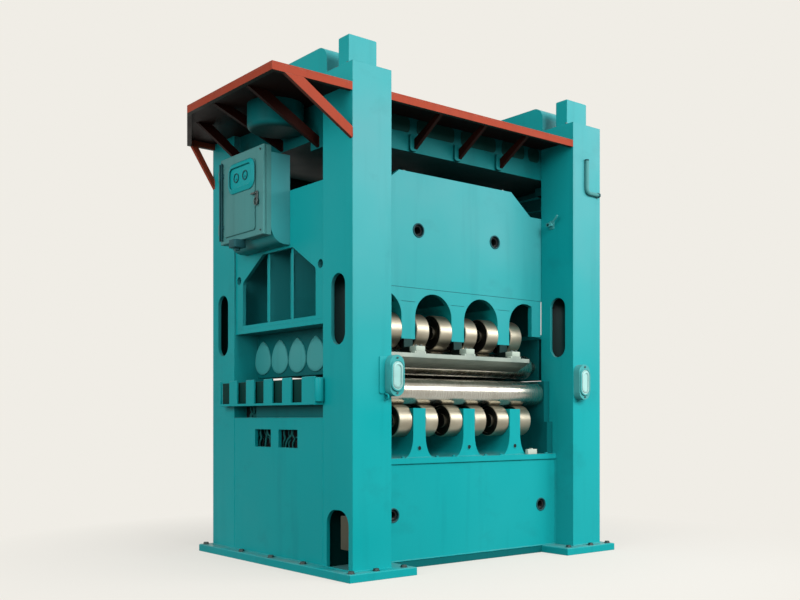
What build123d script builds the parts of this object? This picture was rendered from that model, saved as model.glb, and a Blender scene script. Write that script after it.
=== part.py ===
from build123d import *
import os

# Four-column plate leveling machine: a welded frame of box columns carries a fixed
# lower roll bed and a press beam that slides between the columns with the upper rolls.
# Millimetres, +Z up, +X along the roll axes, the plate travels along +Y.  The origin
# is on the floor, midway between the columns.
os.makedirs("parts", exist_ok=True)

# Frame, over the four columns
machine_width = 3640
machine_depth = 2780
column_width = 476
column_depth = 500
column_wall = 40
column_top = 5000
slot_width = 235
slot_height = 700
slot_centre_z = 2630
slot_inset = 240
foot_opening_width = 370
foot_opening_height = 580
foot_opening_radius = 150

# Sole plates
sole_thickness = 80
sole_outer_margin = 120
sole_inner_margin = 230
sole_chamfer = 8

# Roll bed
bed_setback = 280
bed_plate = 50
bed_flange_thickness = 60
bed_top = 1146
bed_flange_lip = 20
bed_port_diameter = 146
bed_port_z = 560
bed_port_offset = 1100

# Lower side plates
side_plate = 40
side_plate_top = 1560
side_window_height = 190
side_window_z = 1345
side_window_width_front = 370
side_window_width_rear = 330
side_window_front_y = -240
side_window_rear_y = 265

# Rolls
work_roll_diameter = 280
roll_barrel = 2460
roll_neck_diameter = 140
roll_pitch = 357
lower_roll_count = 6
upper_roll_count = 5
lower_roll_z = 1850
upper_roll_z = 2170
lower_backup_diameter = 350
upper_backup_diameter = 390
backup_width = 180
backup_hub_diameter = 150
backup_recess = 22
backup_rim = 0.1
backup_shaft_diameter = 90
backup_edge = 8
roll_contact_gap = 0.5
shaft_clearance = 0.3
running_clearance = 5

# Roller carriers
pillar_pitch = 713
lower_neck_width = 170
lower_foot_width = 400
lower_stand_top = 1667
lower_flare_height = 245
stand_front_setback = 320
upper_pillar_width = 190
upper_pillar_bottom = 2410
pillar_seam_z = 2811
arch_spring_z = 2650
arch_top_z = 2910
arch_plate = 60
outer_arch_limit = 1184
end_pillar_bottom = 2530

# Bearing housings
upper_housing_clearance = 6
upper_housing_thickness = 190
upper_housing_bottom = 2020
lower_housing_thickness = 95
lower_housing_shoulder = 1520
lower_housing_top = 2000
lower_housing_step = 50
cap_gap = 22
cap_bottom = 2055
cap_belly_z = 2190
cap_top = 2435
cap_thickness = 20

# Press beam
beam_plate = 50
beam_bottom = 2960
beam_top = 4200
beam_ear_top = 3950
beam_top_half = 840
beam_shoulder_half = 1160
beam_half_width = 1800
beam_port_diameter = 150
beam_port_z = 3585
beam_port_offset = 572
end_plate = 40
beam_web_inner = 1340
beam_web_outer = 1380
window_bottom = 2600
window_top = 3350
window_rise = 265
window_half_width = 730
window_top_half_width = 300
window_corner = 60
rib_offset = 235
rib_thickness = 40
ledge_bottom = 2510
ledge_thickness = 50
guide_hole_diameter = 90
guide_hole_z = 3115
guide_hole_inset = 70
liner_clearance = 0.3
liner_length = 620
liner_centre_z = 3560

# Entry guides
guide_left_reach = 1250
guide_right_reach = 930
guide_front_setback = 300
guide_back_setback = 505
guide_top = 2245
guide_edge = 45
guide_lip = 60
guide_back_z = 2100
guide_arm_width = 120
guide_arm_height = 75
guide_arm_web = 40

# Crown and platform
crown_bottom = 4410
crown_half_width = 1740
crown_haunch_width = 140
crown_haunch_length = 340
crown_haunch_depth = 100
apron_thickness = 15
apron_bottom = 3980
deck_thickness = 15
deck_top = 4790
platform_edge_height = 80
platform_edge_width = 50
platform_overhang = 898
corner_cut_length = 562
corner_cut_width = 1115
strut_width = 110
strut_thickness = 40
strut_foot_z = 4250
strut_count = 5
strut_near_share = 0.62
strut_far_share = 0.85
strut_foot_rise = 10
gusset_pitch = 640
gusset_foot_z = 4400
gusset_rise = 20
gusset_seat = 60

# Drive housing that hangs from the platform beside the crown
drive_housing_diameter = 580
drive_housing_height = 275
drive_housing_y = -345
drive_housing_radius = 60

# Screw caps and drive covers on the columns
screw_cap_width = 340
screw_cap_depth = 170
screw_cap_top = 5320
screw_cap_inset = 240
screw_cap_radius = 20
drive_cover_width = 300
drive_cover_top = 5330
drive_cover_radius = 140
drive_cover_gap = 60

# Roll end guards
guard_outer = 1920
guard_plate = 20
guard_bottom = 1720
guard_top = 1970
guard_ledge = 25
guard_window_width = 200
guard_window_count = 5
guard_window_pitch = 370
guard_first_window_y = -555
guard_plain_end_length = 60
guard_length = 1950
guard_beam_thickness = 260
guard_beam_setback = 40
guard_beam_bottom = 1480
guard_beam_rear_y = 470

# Electrical cabinet and its curved cover
cover_bottom = 3380
cover_top = 4320
cover_front_y = -252
cover_rear_y = 640
cover_depth = 230
cover_radius = 170
cabinet_front_y = -252
cabinet_rear_y = 650
cabinet_bottom = 3460
cabinet_top = 4390
cabinet_depth = 60
cabinet_wall = 8
door_thickness = 30
door_gap = 6
door_chamfer = 6
hinge_rod_diameter = 24
hinge_clearance = 0.3
hinge_offset = 8
hinge_end_play = 3
hinge_bracket_thickness = 20
hinge_bracket_grip = 50
knuckle_diameter = 44
knuckle_height = 90
knuckle_leaf = 20
knuckle_spacing = 560

# Gauges and pipe on the front columns
gauge_width = 135
gauge_height = 280
gauge_depth = 90
gauge_z = 1980
gauge_rim = 24
gauge_head = 40
gauge_face_depth = 12
gauge_xs = [-1342, 1444]
pipe_diameter = 45
pipe_x = 1560
pipe_top = 4590
pipe_bottom = 4200
pipe_reach = 215
pipe_bend = 60

half_width = machine_width / 2
half_depth = machine_depth / 2
inner_x = half_width - column_width
inner_y = half_depth - column_depth
column_x = half_width - column_width / 2
column_y = half_depth - column_depth / 2
lower_first_y = -roll_pitch * (lower_roll_count - 1) / 2
upper_first_y = -roll_pitch * (upper_roll_count - 1) / 2
lower_backup_z = lower_roll_z - (work_roll_diameter + lower_backup_diameter) / 2 - roll_contact_gap
upper_backup_z = upper_roll_z + (work_roll_diameter + upper_backup_diameter) / 2 + roll_contact_gap
pillar_xs = [-pillar_pitch, 0, pillar_pitch]
lower_roll_ys = [lower_first_y + index * roll_pitch for index in range(lower_roll_count)]
upper_roll_ys = [upper_first_y + index * roll_pitch for index in range(upper_roll_count)]
beam_half_depth = inner_y - running_clearance
frame_half_width = inner_x - running_clearance
upper_housing_inner = inner_x + upper_housing_clearance
upper_housing_outer = upper_housing_inner + upper_housing_thickness
arch_half_span = (pillar_pitch - upper_pillar_width) / 2
arch_xs = [-1.5 * pillar_pitch, -0.5 * pillar_pitch, 0.5 * pillar_pitch, 1.5 * pillar_pitch]
ledge_top = ledge_bottom + ledge_thickness


def save(builder, name):
    """Label a finished sub-part and write it as parts/NAME.step."""
    builder.part.label = name
    export_step(builder.part, f"parts/{name}.step")


# Four box columns, each with a tall obround slot through both side plates
for column_name, side_x, side_y in (
    ("column_front_left", -1, -1),
    ("column_front_right", 1, -1),
    ("column_rear_left", -1, 1),
    ("column_rear_right", 1, 1),
):
    with BuildPart() as column:
        with BuildSketch(Plane.XY.offset(sole_thickness)):
            with Locations((side_x * column_x, side_y * column_y)):
                Rectangle(column_width, column_depth)
        extrude(amount=column_top - sole_thickness)
        with BuildSketch(Plane.XY.offset(sole_thickness)):
            with Locations((side_x * column_x, side_y * column_y)):
                Rectangle(column_width - 2 * column_wall, column_depth - 2 * column_wall)
        extrude(amount=column_top - sole_thickness - column_wall, mode=Mode.SUBTRACT)
        with BuildSketch(Plane.YZ.offset(side_x * column_x)):
            with Locations((side_y * (half_depth - slot_inset), slot_centre_z)):
                SlotOverall(slot_height, slot_width, rotation=90)
        extrude(amount=column_width, both=True, mode=Mode.SUBTRACT)
        if side_y < 0:
            with BuildSketch(Plane.YZ.offset(side_x * half_width)) as foot_opening:
                with Locations((side_y * column_y, sole_thickness + foot_opening_height / 2)):
                    Rectangle(foot_opening_width, foot_opening_height)
                fillet(foot_opening.vertices().group_by(Axis.Y)[-1], foot_opening_radius)
            extrude(amount=-side_x * column_wall, mode=Mode.SUBTRACT)
    save(column, column_name)

# Sole plates under the columns and the bed's bottom plate between them
sole_inner_x = inner_x - sole_inner_margin
sole_outer_x = half_width + sole_outer_margin
with BuildPart() as sole_plates:
    with BuildSketch():
        for side in (-1, 1):
            with Locations((side * (sole_inner_x + sole_outer_x) / 2, 0)):
                Rectangle(sole_outer_x - sole_inner_x, machine_depth + 2 * sole_outer_margin)
    extrude(amount=sole_thickness)
    chamfer(sole_plates.edges().group_by(Axis.Z)[-1], sole_chamfer)
save(sole_plates, "sole_plates")

bed_half_depth = half_depth - bed_setback
with BuildPart() as bed_bottom_plate:
    with BuildSketch():
        Rectangle(2 * sole_inner_x, 2 * bed_half_depth)
    extrude(amount=sole_thickness)
save(bed_bottom_plate, "bed_bottom_plate")

# Front and rear plates of the bed, with round lifting ports
bed_flange_bottom = bed_top - bed_flange_thickness
with BuildPart() as bed_face_plates:
    for side in (-1, 1):
        with BuildSketch(Plane.XZ.offset(-side * bed_half_depth)):
            with Locations((0, (sole_thickness + bed_flange_bottom) / 2)):
                Rectangle(2 * inner_x, bed_flange_bottom - sole_thickness)
            with Locations((-bed_port_offset, bed_port_z), (bed_port_offset, bed_port_z)):
                Circle(bed_port_diameter / 2, mode=Mode.SUBTRACT)
        extrude(amount=side * bed_plate)
save(bed_face_plates, "bed_face_plates")

with BuildPart() as bed_top_plate:
    with BuildSketch(Plane.XY.offset(bed_flange_bottom)):
        Rectangle(2 * inner_x, 2 * (bed_half_depth + bed_flange_lip))
    extrude(amount=bed_flange_thickness)
save(bed_top_plate, "bed_top_plate")

# Lower side plates between the columns, with two cable windows each
with BuildPart() as lower_side_plates:
    for side in (-1, 1):
        with BuildSketch(Plane.YZ.offset(side * half_width)):
            with Locations((0, (sole_thickness + side_plate_top) / 2)):
                Rectangle(2 * inner_y, side_plate_top - sole_thickness)
            with Locations((side_window_front_y, side_window_z)):
                Rectangle(side_window_width_front, side_window_height, mode=Mode.SUBTRACT)
            with Locations((side_window_rear_y, side_window_z)):
                Rectangle(side_window_width_rear, side_window_height, mode=Mode.SUBTRACT)
        extrude(amount=-side * side_plate)
save(lower_side_plates, "lower_side_plates")

# Lower roller stands: trumpet-footed webs that run the length of the bed
stand_half_length = half_depth - stand_front_setback
flare = (lower_foot_width - lower_neck_width) / 2
with BuildPart() as lower_roller_stands:
    for pillar_x in pillar_xs:
        with BuildSketch(Plane.XZ.offset(-stand_half_length)):
            with BuildLine():
                Polyline(
                    (pillar_x + lower_neck_width / 2, bed_top + lower_flare_height),
                    (pillar_x + lower_neck_width / 2, lower_stand_top),
                    (pillar_x - lower_neck_width / 2, lower_stand_top),
                    (pillar_x - lower_neck_width / 2, bed_top + lower_flare_height),
                )
                EllipticalCenterArc(
                    (pillar_x - lower_foot_width / 2, bed_top + lower_flare_height),
                    flare, lower_flare_height, start_angle=270, arc_size=90,
                )
                Line(
                    (pillar_x - lower_foot_width / 2, bed_top),
                    (pillar_x + lower_foot_width / 2, bed_top),
                )
                EllipticalCenterArc(
                    (pillar_x + lower_foot_width / 2, bed_top + lower_flare_height),
                    flare, lower_flare_height, start_angle=180, arc_size=90,
                )
            make_face()
        extrude(amount=2 * stand_half_length)
        with BuildSketch(Plane.YZ.offset(pillar_x)):
            with Locations(*[(roll_y, lower_backup_z) for roll_y in lower_roll_ys]):
                Circle(backup_shaft_diameter / 2 + shaft_clearance)
        extrude(amount=lower_foot_width, both=True, mode=Mode.SUBTRACT)
save(lower_roller_stands, "lower_roller_stands")


def backup_profile(diameter, width, inner_face):
    """Half section of a backup roller drum, recessed at its ends, with its shaft end at x = 0."""
    recess_radius = diameter * (0.5 - backup_rim)
    with BuildSketch(Plane.XY) as profile:
        with BuildLine():
            Polyline(
                (0, 0),
                (0, backup_shaft_diameter / 2),
                (inner_face, backup_shaft_diameter / 2),
                (inner_face, backup_hub_diameter / 2),
                (inner_face + backup_recess, backup_hub_diameter / 2),
                (inner_face + backup_recess, recess_radius),
                (inner_face, recess_radius),
                (inner_face, diameter / 2 - backup_edge),
                (inner_face + backup_edge, diameter / 2),
                (inner_face + width - backup_edge, diameter / 2),
                (inner_face + width, diameter / 2 - backup_edge),
                (inner_face + width, recess_radius),
                (inner_face + width - backup_recess, recess_radius),
                (inner_face + width - backup_recess, backup_hub_diameter / 2),
                (inner_face + width, backup_hub_diameter / 2),
                (inner_face + width, 0),
                close=True,
            )
        make_face()
    return profile.sketch


def backup_pair(diameter, carrier_width):
    """Two backup rollers on one short shaft, straddling a carrier of the given width."""
    inner_face = carrier_width / 2 + running_clearance
    with BuildPart() as pair:
        with BuildSketch(Plane.XY):
            add(backup_profile(diameter, backup_width, inner_face))
        revolve(axis=Axis.X)
        mirror(about=Plane.YZ)
    return pair.part


lower_pair = backup_pair(lower_backup_diameter, lower_neck_width)
upper_pair = backup_pair(upper_backup_diameter, upper_pillar_width)

# Front backup rows, whose rollers turn under the front work rolls, and the fixed rows behind
with BuildPart() as lower_backup_front:
    with Locations(*[(pillar_x, lower_roll_ys[0], lower_backup_z) for pillar_x in pillar_xs]):
        add(lower_pair)
save(lower_backup_front, "lower_backup_front")

with BuildPart() as lower_backup_inner:
    for roll_y in lower_roll_ys[1:]:
        with Locations(*[(pillar_x, roll_y, lower_backup_z) for pillar_x in pillar_xs]):
            add(lower_pair)
save(lower_backup_inner, "lower_backup_inner")

with BuildPart() as upper_backup_front:
    with Locations(*[(pillar_x, upper_roll_ys[0], upper_backup_z) for pillar_x in pillar_xs]):
        add(upper_pair)
save(upper_backup_front, "upper_backup_front")

with BuildPart() as upper_backup_inner:
    for roll_y in upper_roll_ys[2::2]:
        with Locations(*[(pillar_x, roll_y, upper_backup_z) for pillar_x in pillar_xs]):
            add(upper_pair)
save(upper_backup_inner, "upper_backup_inner")


# Work rolls: polished barrels with stepped necks
def work_roll(roll_y, roll_z, neck_end):
    """One work roll with its necks reaching to neck_end on both sides."""
    with BuildPart() as roll:
        with BuildSketch(Plane.YZ.offset(-roll_barrel / 2)):
            with Locations((roll_y, roll_z)):
                Circle(work_roll_diameter / 2)
        extrude(amount=roll_barrel)
        chamfer(roll.edges().filter_by(GeomType.CIRCLE), backup_edge)
        with BuildSketch(Plane.YZ.offset(-neck_end)):
            with Locations((roll_y, roll_z)):
                Circle(roll_neck_diameter / 2)
        extrude(amount=2 * neck_end)
    return roll


for index, roll_y in enumerate(lower_roll_ys, start=1):
    save(work_roll(roll_y, lower_roll_z, inner_x - running_clearance), f"lower_work_roll_{index}")

for index, roll_y in enumerate(upper_roll_ys, start=1):
    save(work_roll(roll_y, upper_roll_z, upper_housing_outer - running_clearance), f"upper_work_roll_{index}")

# Lower bearing housings, stepped back above the shoulder
with BuildPart() as lower_bearing_housings:
    for side in (-1, 1):
        with BuildSketch(Plane.YZ.offset(side * inner_x)):
            with Locations((0, (bed_top + lower_housing_shoulder) / 2)):
                Rectangle(2 * stand_half_length, lower_housing_shoulder - bed_top)
            with Locations((0, (bed_top + lower_housing_top) / 2)):
                Rectangle(2 * (stand_half_length - lower_housing_step), lower_housing_top - bed_top)
            with Locations(*[(roll_y, lower_roll_z) for roll_y in lower_roll_ys]):
                Circle(roll_neck_diameter / 2 + shaft_clearance, mode=Mode.SUBTRACT)
        extrude(amount=-side * lower_housing_thickness)
save(lower_bearing_housings, "lower_bearing_housings")

# Roll end guards: posts with open windows between them on a ledge, and a plain end at the front
guard_beam_outer = half_width - guard_beam_setback
guard_beam_inner = guard_beam_outer - guard_beam_thickness
guard_centre_y = guard_length / 2 - inner_y
guard_window_ys = [guard_first_window_y + index * guard_window_pitch for index in range(guard_window_count)]
with BuildPart() as roll_end_guards:
    for side in (-1, 1):
        with BuildSketch(Plane.YZ.offset(side * guard_outer)):
            with Locations((guard_centre_y, (guard_bottom + guard_top) / 2)):
                Rectangle(guard_length, guard_top - guard_bottom)
            with Locations(*[(window_y, (guard_bottom + guard_top) / 2) for window_y in guard_window_ys]):
                Rectangle(guard_window_width, guard_top - guard_bottom, mode=Mode.SUBTRACT)
        extrude(amount=-side * guard_plate)
        with BuildSketch(Plane.XY.offset(guard_bottom - guard_ledge)):
            with Locations((side * (guard_beam_inner + guard_outer) / 2, 0)):
                Rectangle(guard_outer - guard_beam_inner, 2 * inner_y)
            with Locations((side * (half_width + guard_outer) / 2, guard_centre_y)):
                Rectangle(guard_outer - half_width, guard_length)
        extrude(amount=guard_ledge)
        with BuildSketch(Plane.XY.offset(guard_bottom)):
            with Locations((side * (half_width + guard_outer) / 2, guard_plain_end_length / 2 - inner_y)):
                Rectangle(guard_outer - half_width, guard_plain_end_length)
        extrude(amount=guard_top - guard_bottom)
save(roll_end_guards, "roll_end_guards")

# Side beams that carry the guard ledges behind the side plates
with BuildPart() as guard_side_beams:
    for side in (-1, 1):
        with BuildSketch(Plane.XY.offset(guard_beam_bottom)):
            with Locations((side * (guard_beam_outer - guard_beam_thickness / 2),
                            (guard_beam_rear_y - inner_y) / 2)):
                Rectangle(guard_beam_thickness, guard_beam_rear_y + inner_y)
        extrude(amount=guard_bottom - guard_ledge - guard_beam_bottom)
save(guard_side_beams, "guard_side_beams")

# Press beam: two face plates with sloping shoulders and round ports
with BuildPart() as beam_face_plates:
    for side in (-1, 1):
        with BuildSketch(Plane.XZ.offset(-side * beam_half_depth)):
            with BuildLine():
                Polyline(
                    (-beam_web_outer, beam_bottom),
                    (beam_web_outer, beam_bottom),
                    (beam_web_outer, beam_ear_top),
                    (beam_shoulder_half, beam_ear_top),
                    (beam_top_half, beam_top),
                    (-beam_top_half, beam_top),
                    (-beam_shoulder_half, beam_ear_top),
                    (-beam_web_outer, beam_ear_top),
                    close=True,
                )
            make_face()
            with Locations((-beam_port_offset, beam_port_z), (beam_port_offset, beam_port_z)):
                Circle(beam_port_diameter / 2, mode=Mode.SUBTRACT)
        extrude(amount=side * beam_plate)
save(beam_face_plates, "beam_face_plates")

# Cover plates along the beam's bottom and top
cover_half_depth = beam_half_depth - beam_plate
with BuildPart() as beam_cover_plates:
    with BuildSketch(Plane.XY.offset(beam_bottom)):
        Rectangle(2 * beam_web_inner, 2 * cover_half_depth)
    extrude(amount=beam_plate)
    with BuildSketch(Plane.XY.offset(beam_top - beam_plate)):
        Rectangle(2 * beam_top_half, 2 * cover_half_depth)
    extrude(amount=beam_plate)
save(beam_cover_plates, "beam_cover_plates")

# Beam end plates with the arched window and the liners that slide on the columns, the ribs
# across it, the webs behind and the ledges below
liner_thickness = running_clearance - liner_clearance
with BuildPart() as beam_end_plates:
    for side in (-1, 1):
        with BuildSketch(Plane.YZ.offset(side * beam_half_width)):
            with Locations((0, (ledge_top + beam_ear_top) / 2)):
                Rectangle(2 * beam_half_depth, beam_ear_top - ledge_top)
            with Locations(
                (-beam_half_depth + guide_hole_inset, guide_hole_z),
                (beam_half_depth - guide_hole_inset, guide_hole_z),
            ):
                Circle(guide_hole_diameter / 2, mode=Mode.SUBTRACT)
            with BuildSketch(mode=Mode.SUBTRACT) as window:
                Polygon(
                    (-window_half_width, window_bottom),
                    (window_half_width, window_bottom),
                    (window_half_width, window_top - window_rise),
                    (window_top_half_width, window_top),
                    (-window_top_half_width, window_top),
                    (-window_half_width, window_top - window_rise),
                    align=None,
                )
                fillet(window.vertices().sort_by(Axis.Y)[2:], window_corner)
        extrude(amount=-side * end_plate)
        with BuildSketch(Plane.YZ.offset(side * beam_half_width)):
            with Locations((-beam_half_depth - liner_thickness / 2, liner_centre_z),
                           (beam_half_depth + liner_thickness / 2, liner_centre_z)):
                Rectangle(liner_thickness, liner_length)
        extrude(amount=-side * end_plate)
save(beam_end_plates, "beam_end_plates")

with BuildPart() as beam_end_ribs:
    for side in (-1, 1):
        with BuildSketch(Plane.XY.offset(ledge_top)):
            with Locations(*[(side * (beam_web_outer + beam_half_width - end_plate) / 2, y)
                             for y in (-rib_offset, rib_offset)]):
                Rectangle(beam_half_width - end_plate - beam_web_outer, rib_thickness)
        extrude(amount=beam_ear_top - ledge_top)
save(beam_end_ribs, "beam_end_ribs")

with BuildPart() as beam_end_webs:
    for side in (-1, 1):
        with BuildSketch(Plane.XY.offset(ledge_top)):
            with Locations((side * (beam_web_inner + beam_web_outer) / 2, 0)):
                Rectangle(beam_web_outer - beam_web_inner, 2 * cover_half_depth)
        extrude(amount=beam_ear_top - ledge_top)
save(beam_end_webs, "beam_end_webs")

with BuildPart() as beam_ledges:
    for side in (-1, 1):
        with BuildSketch(Plane.XY.offset(ledge_bottom)):
            with Locations((side * (upper_housing_inner + beam_half_width) / 2, 0)):
                Rectangle(beam_half_width - upper_housing_inner, 2 * beam_half_depth)
        extrude(amount=ledge_thickness)
save(beam_ledges, "beam_ledges")

# Arch beams under the press beam, front and rear
with BuildPart() as upper_arch_beams:
    for side in (-1, 1):
        with BuildSketch(Plane.XZ.offset(-side * beam_half_depth)) as arch_profile:
            with Locations((0, (pillar_seam_z + beam_bottom) / 2)):
                Rectangle(2 * frame_half_width, beam_bottom - pillar_seam_z)
            with Locations(*[(x, arch_spring_z) for x in arch_xs]):
                Ellipse(arch_half_span, arch_top_z - arch_spring_z, mode=Mode.SUBTRACT)
            with Locations(*[(end_side * (outer_arch_limit + frame_half_width) / 2,
                              (end_pillar_bottom + beam_bottom) / 2) for end_side in (-1, 1)]):
                Rectangle(frame_half_width - outer_arch_limit, beam_bottom - end_pillar_bottom)
        extrude(amount=side * arch_plate)
save(upper_arch_beams, "upper_arch_beams")

# Upper pillars: webs along the beam that hang between the backup rollers
with BuildPart() as upper_pillars:
    for pillar_x in pillar_xs:
        with BuildSketch(Plane.XZ.offset(-beam_half_depth)):
            with Locations((pillar_x, (upper_pillar_bottom + pillar_seam_z) / 2)):
                Rectangle(pillar_pitch, pillar_seam_z - upper_pillar_bottom)
            with Locations(
                (pillar_x - pillar_pitch / 2, arch_spring_z),
                (pillar_x + pillar_pitch / 2, arch_spring_z),
            ):
                Ellipse(arch_half_span, arch_top_z - arch_spring_z, mode=Mode.SUBTRACT)
            with Locations(
                (pillar_x - pillar_pitch / 2, (upper_pillar_bottom + arch_spring_z) / 2),
                (pillar_x + pillar_pitch / 2, (upper_pillar_bottom + arch_spring_z) / 2),
            ):
                Rectangle(2 * arch_half_span, arch_spring_z - upper_pillar_bottom, mode=Mode.SUBTRACT)
        extrude(amount=2 * beam_half_depth)
        with BuildSketch(Plane.XZ.offset(-beam_half_depth + arch_plate)):
            with Locations((pillar_x, (pillar_seam_z + beam_bottom) / 2)):
                Rectangle(upper_pillar_width, beam_bottom - pillar_seam_z)
        extrude(amount=2 * (beam_half_depth - arch_plate))
        with BuildSketch(Plane.YZ.offset(pillar_x)):
            with Locations(*[(roll_y, upper_backup_z) for roll_y in upper_roll_ys[::2]]):
                Circle(backup_shaft_diameter / 2 + shaft_clearance)
        extrude(amount=upper_pillar_width, both=True, mode=Mode.SUBTRACT)
save(upper_pillars, "upper_pillars")

# Upper bearing housings hang from the ledges and take the upper roll necks
with BuildPart() as upper_bearing_housings:
    for side in (-1, 1):
        with BuildSketch(Plane.YZ.offset(side * upper_housing_outer)):
            with Locations((0, (upper_housing_bottom + ledge_bottom) / 2)):
                Rectangle(2 * cover_half_depth, ledge_bottom - upper_housing_bottom)
            with Locations(*[(roll_y, upper_roll_z) for roll_y in upper_roll_ys]):
                Circle(roll_neck_diameter / 2 + shaft_clearance, mode=Mode.SUBTRACT)
        extrude(amount=-side * (upper_housing_outer - upper_housing_inner))
save(upper_bearing_housings, "upper_bearing_housings")

# Pointed covers over the upper roll ends: an ogive above the belly, a flat oval below it
cap_half_width = (roll_pitch - cap_gap) / 2
with BuildPart() as upper_roll_caps:
    for side in (-1, 1):
        with BuildSketch(Plane.YZ.offset(side * upper_housing_outer)):
            for roll_y in upper_roll_ys:
                with BuildLine():
                    EllipticalCenterArc(
                        (roll_y, cap_belly_z),
                        cap_half_width, cap_belly_z - cap_bottom, start_angle=180, arc_size=180,
                    )
                    TangentArc((roll_y + cap_half_width, cap_belly_z), (roll_y, cap_top), tangent=(0, 1))
                    TangentArc((roll_y - cap_half_width, cap_belly_z), (roll_y, cap_top), tangent=(0, 1))
                make_face()
        extrude(amount=side * cap_thickness)
save(upper_roll_caps, "upper_roll_caps")

# Entry and exit guides: sloped plates with a thick lip, hung from the pillars by blocks
guide_profile = [
    (-half_depth + guide_front_setback, guide_top),
    (-half_depth + guide_front_setback + guide_lip, guide_top),
    (-half_depth + guide_back_setback, guide_back_z + guide_edge),
    (-half_depth + guide_back_setback, guide_back_z),
    (-half_depth + guide_front_setback, guide_top - guide_edge),
]
guide_arm = [
    (-half_depth + guide_front_setback, guide_top),
    (-half_depth + guide_front_setback, guide_top + guide_arm_height),
    (-beam_half_depth, guide_top + guide_arm_height),
    (-beam_half_depth, upper_pillar_bottom),
    (-beam_half_depth + guide_arm_web, upper_pillar_bottom),
    (-beam_half_depth + guide_arm_web, guide_top),
]
with BuildPart() as plate_guides:
    with BuildSketch(Plane.YZ.offset(-guide_left_reach)):
        with BuildLine():
            Polyline(*guide_profile, close=True)
        make_face()
    extrude(amount=guide_left_reach + guide_right_reach)
    for pillar_x in pillar_xs:
        with BuildSketch(Plane.YZ.offset(pillar_x - guide_arm_width / 2)):
            with BuildLine():
                Polyline(*guide_arm, close=True)
            make_face()
        extrude(amount=guide_arm_width)
    mirror(about=Plane.XZ)
save(plate_guides, "plate_guides")

# Crown between the column tops, with haunches at its corners
deck_bottom = deck_top - deck_thickness
with BuildPart() as crown_beam:
    with BuildSketch(Plane.XY.offset(crown_bottom)):
        Rectangle(2 * crown_half_width, 2 * inner_y)
    extrude(amount=deck_bottom - crown_bottom)
    with BuildSketch(Plane.XY.offset(crown_bottom)):
        with Locations(*[(side_x * (crown_half_width - crown_haunch_width / 2),
                          side_y * (inner_y - crown_haunch_length / 2))
                         for side_x in (-1, 1) for side_y in (-1, 1)]):
            Rectangle(crown_haunch_width, crown_haunch_length)
    extrude(amount=-crown_haunch_depth)
save(crown_beam, "crown_beam")

# Apron that closes the crown's right end between the columns
edge_bottom = deck_top - platform_edge_height
with BuildPart() as crown_apron:
    with BuildSketch(Plane.XY.offset(apron_bottom)):
        with Locations((half_width - apron_thickness / 2, 0)):
            Rectangle(apron_thickness, 2 * inner_y)
    extrude(amount=edge_bottom - apron_bottom)
save(crown_apron, "crown_apron")

# Platform: deck plate with an edge channel, notched round the columns, with one corner cut off
deck_left = -half_width - platform_overhang
deck_outline = [
    (deck_left, -half_depth),
    (half_width, -half_depth),
    (half_width, half_depth),
    (deck_left + corner_cut_length, half_depth),
    (deck_left, half_depth - corner_cut_width),
]
column_corners = [(x, y) for x in (-column_x, column_x) for y in (-column_y, column_y)]
with BuildPart() as platform_deck:
    with BuildSketch(Plane.XY.offset(deck_bottom)):
        Polygon(*deck_outline, align=None)
        with Locations(*column_corners):
            Rectangle(column_width, column_depth, mode=Mode.SUBTRACT)
    extrude(amount=deck_thickness)
save(platform_deck, "platform_deck")

with BuildPart() as platform_edge:
    with BuildSketch(Plane.XY.offset(edge_bottom)):
        Polygon(*deck_outline, align=None)
        offset(amount=-platform_edge_width, kind=Kind.INTERSECTION, mode=Mode.SUBTRACT)
        with Locations(*column_corners):
            Rectangle(column_width, column_depth, mode=Mode.SUBTRACT)
    extrude(amount=deck_bottom - edge_bottom)
save(platform_edge, "platform_edge")

# Struts below the overhang, in planes across the machine: the outer ones stand on the columns,
# the next ones on the haunches and the middle one on the crown, clear of the rising side cover
strut_pitch = (machine_depth - strut_thickness) / (strut_count - 1)
strut_ys = [-half_depth + strut_thickness / 2 + index * strut_pitch for index in range(strut_count)]
with BuildPart() as platform_struts:
    for strut_y in strut_ys:
        on_column = abs(strut_y) > inner_y
        on_haunch = abs(strut_y) > inner_y - crown_haunch_length
        foot_x = -half_width if on_column else -crown_half_width
        foot_z = strut_foot_z if on_column else crown_bottom + strut_foot_rise
        if on_haunch and not on_column:
            foot_z = crown_bottom - crown_haunch_depth + strut_foot_rise
        top_z = edge_bottom if on_column else deck_bottom
        cut_share = max(0, (strut_y - half_depth + corner_cut_width) / corner_cut_width)
        strut_run = foot_x - deck_left - corner_cut_length * cut_share
        with BuildSketch(Plane.XZ.offset(-strut_y - strut_thickness / 2)):
            Polygon(
                (foot_x, foot_z),
                (foot_x, foot_z + strut_width),
                (foot_x - strut_run * strut_near_share, top_z),
                (foot_x - strut_run * strut_far_share, top_z),
                align=None,
            )
        extrude(amount=strut_thickness)
save(platform_struts, "platform_struts")

# Drive housing: a drum that hangs from the deck, rounded at its lower edge
with BuildPart() as drive_housing:
    with BuildSketch(Plane.XY.offset(deck_bottom)):
        with Locations((-crown_half_width - running_clearance - drive_housing_diameter / 2, drive_housing_y)):
            Circle(drive_housing_diameter / 2)
    extrude(amount=-drive_housing_height)
    fillet(drive_housing.edges().group_by(Axis.Z)[0], drive_housing_radius)
save(drive_housing, "drive_housing")

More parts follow.
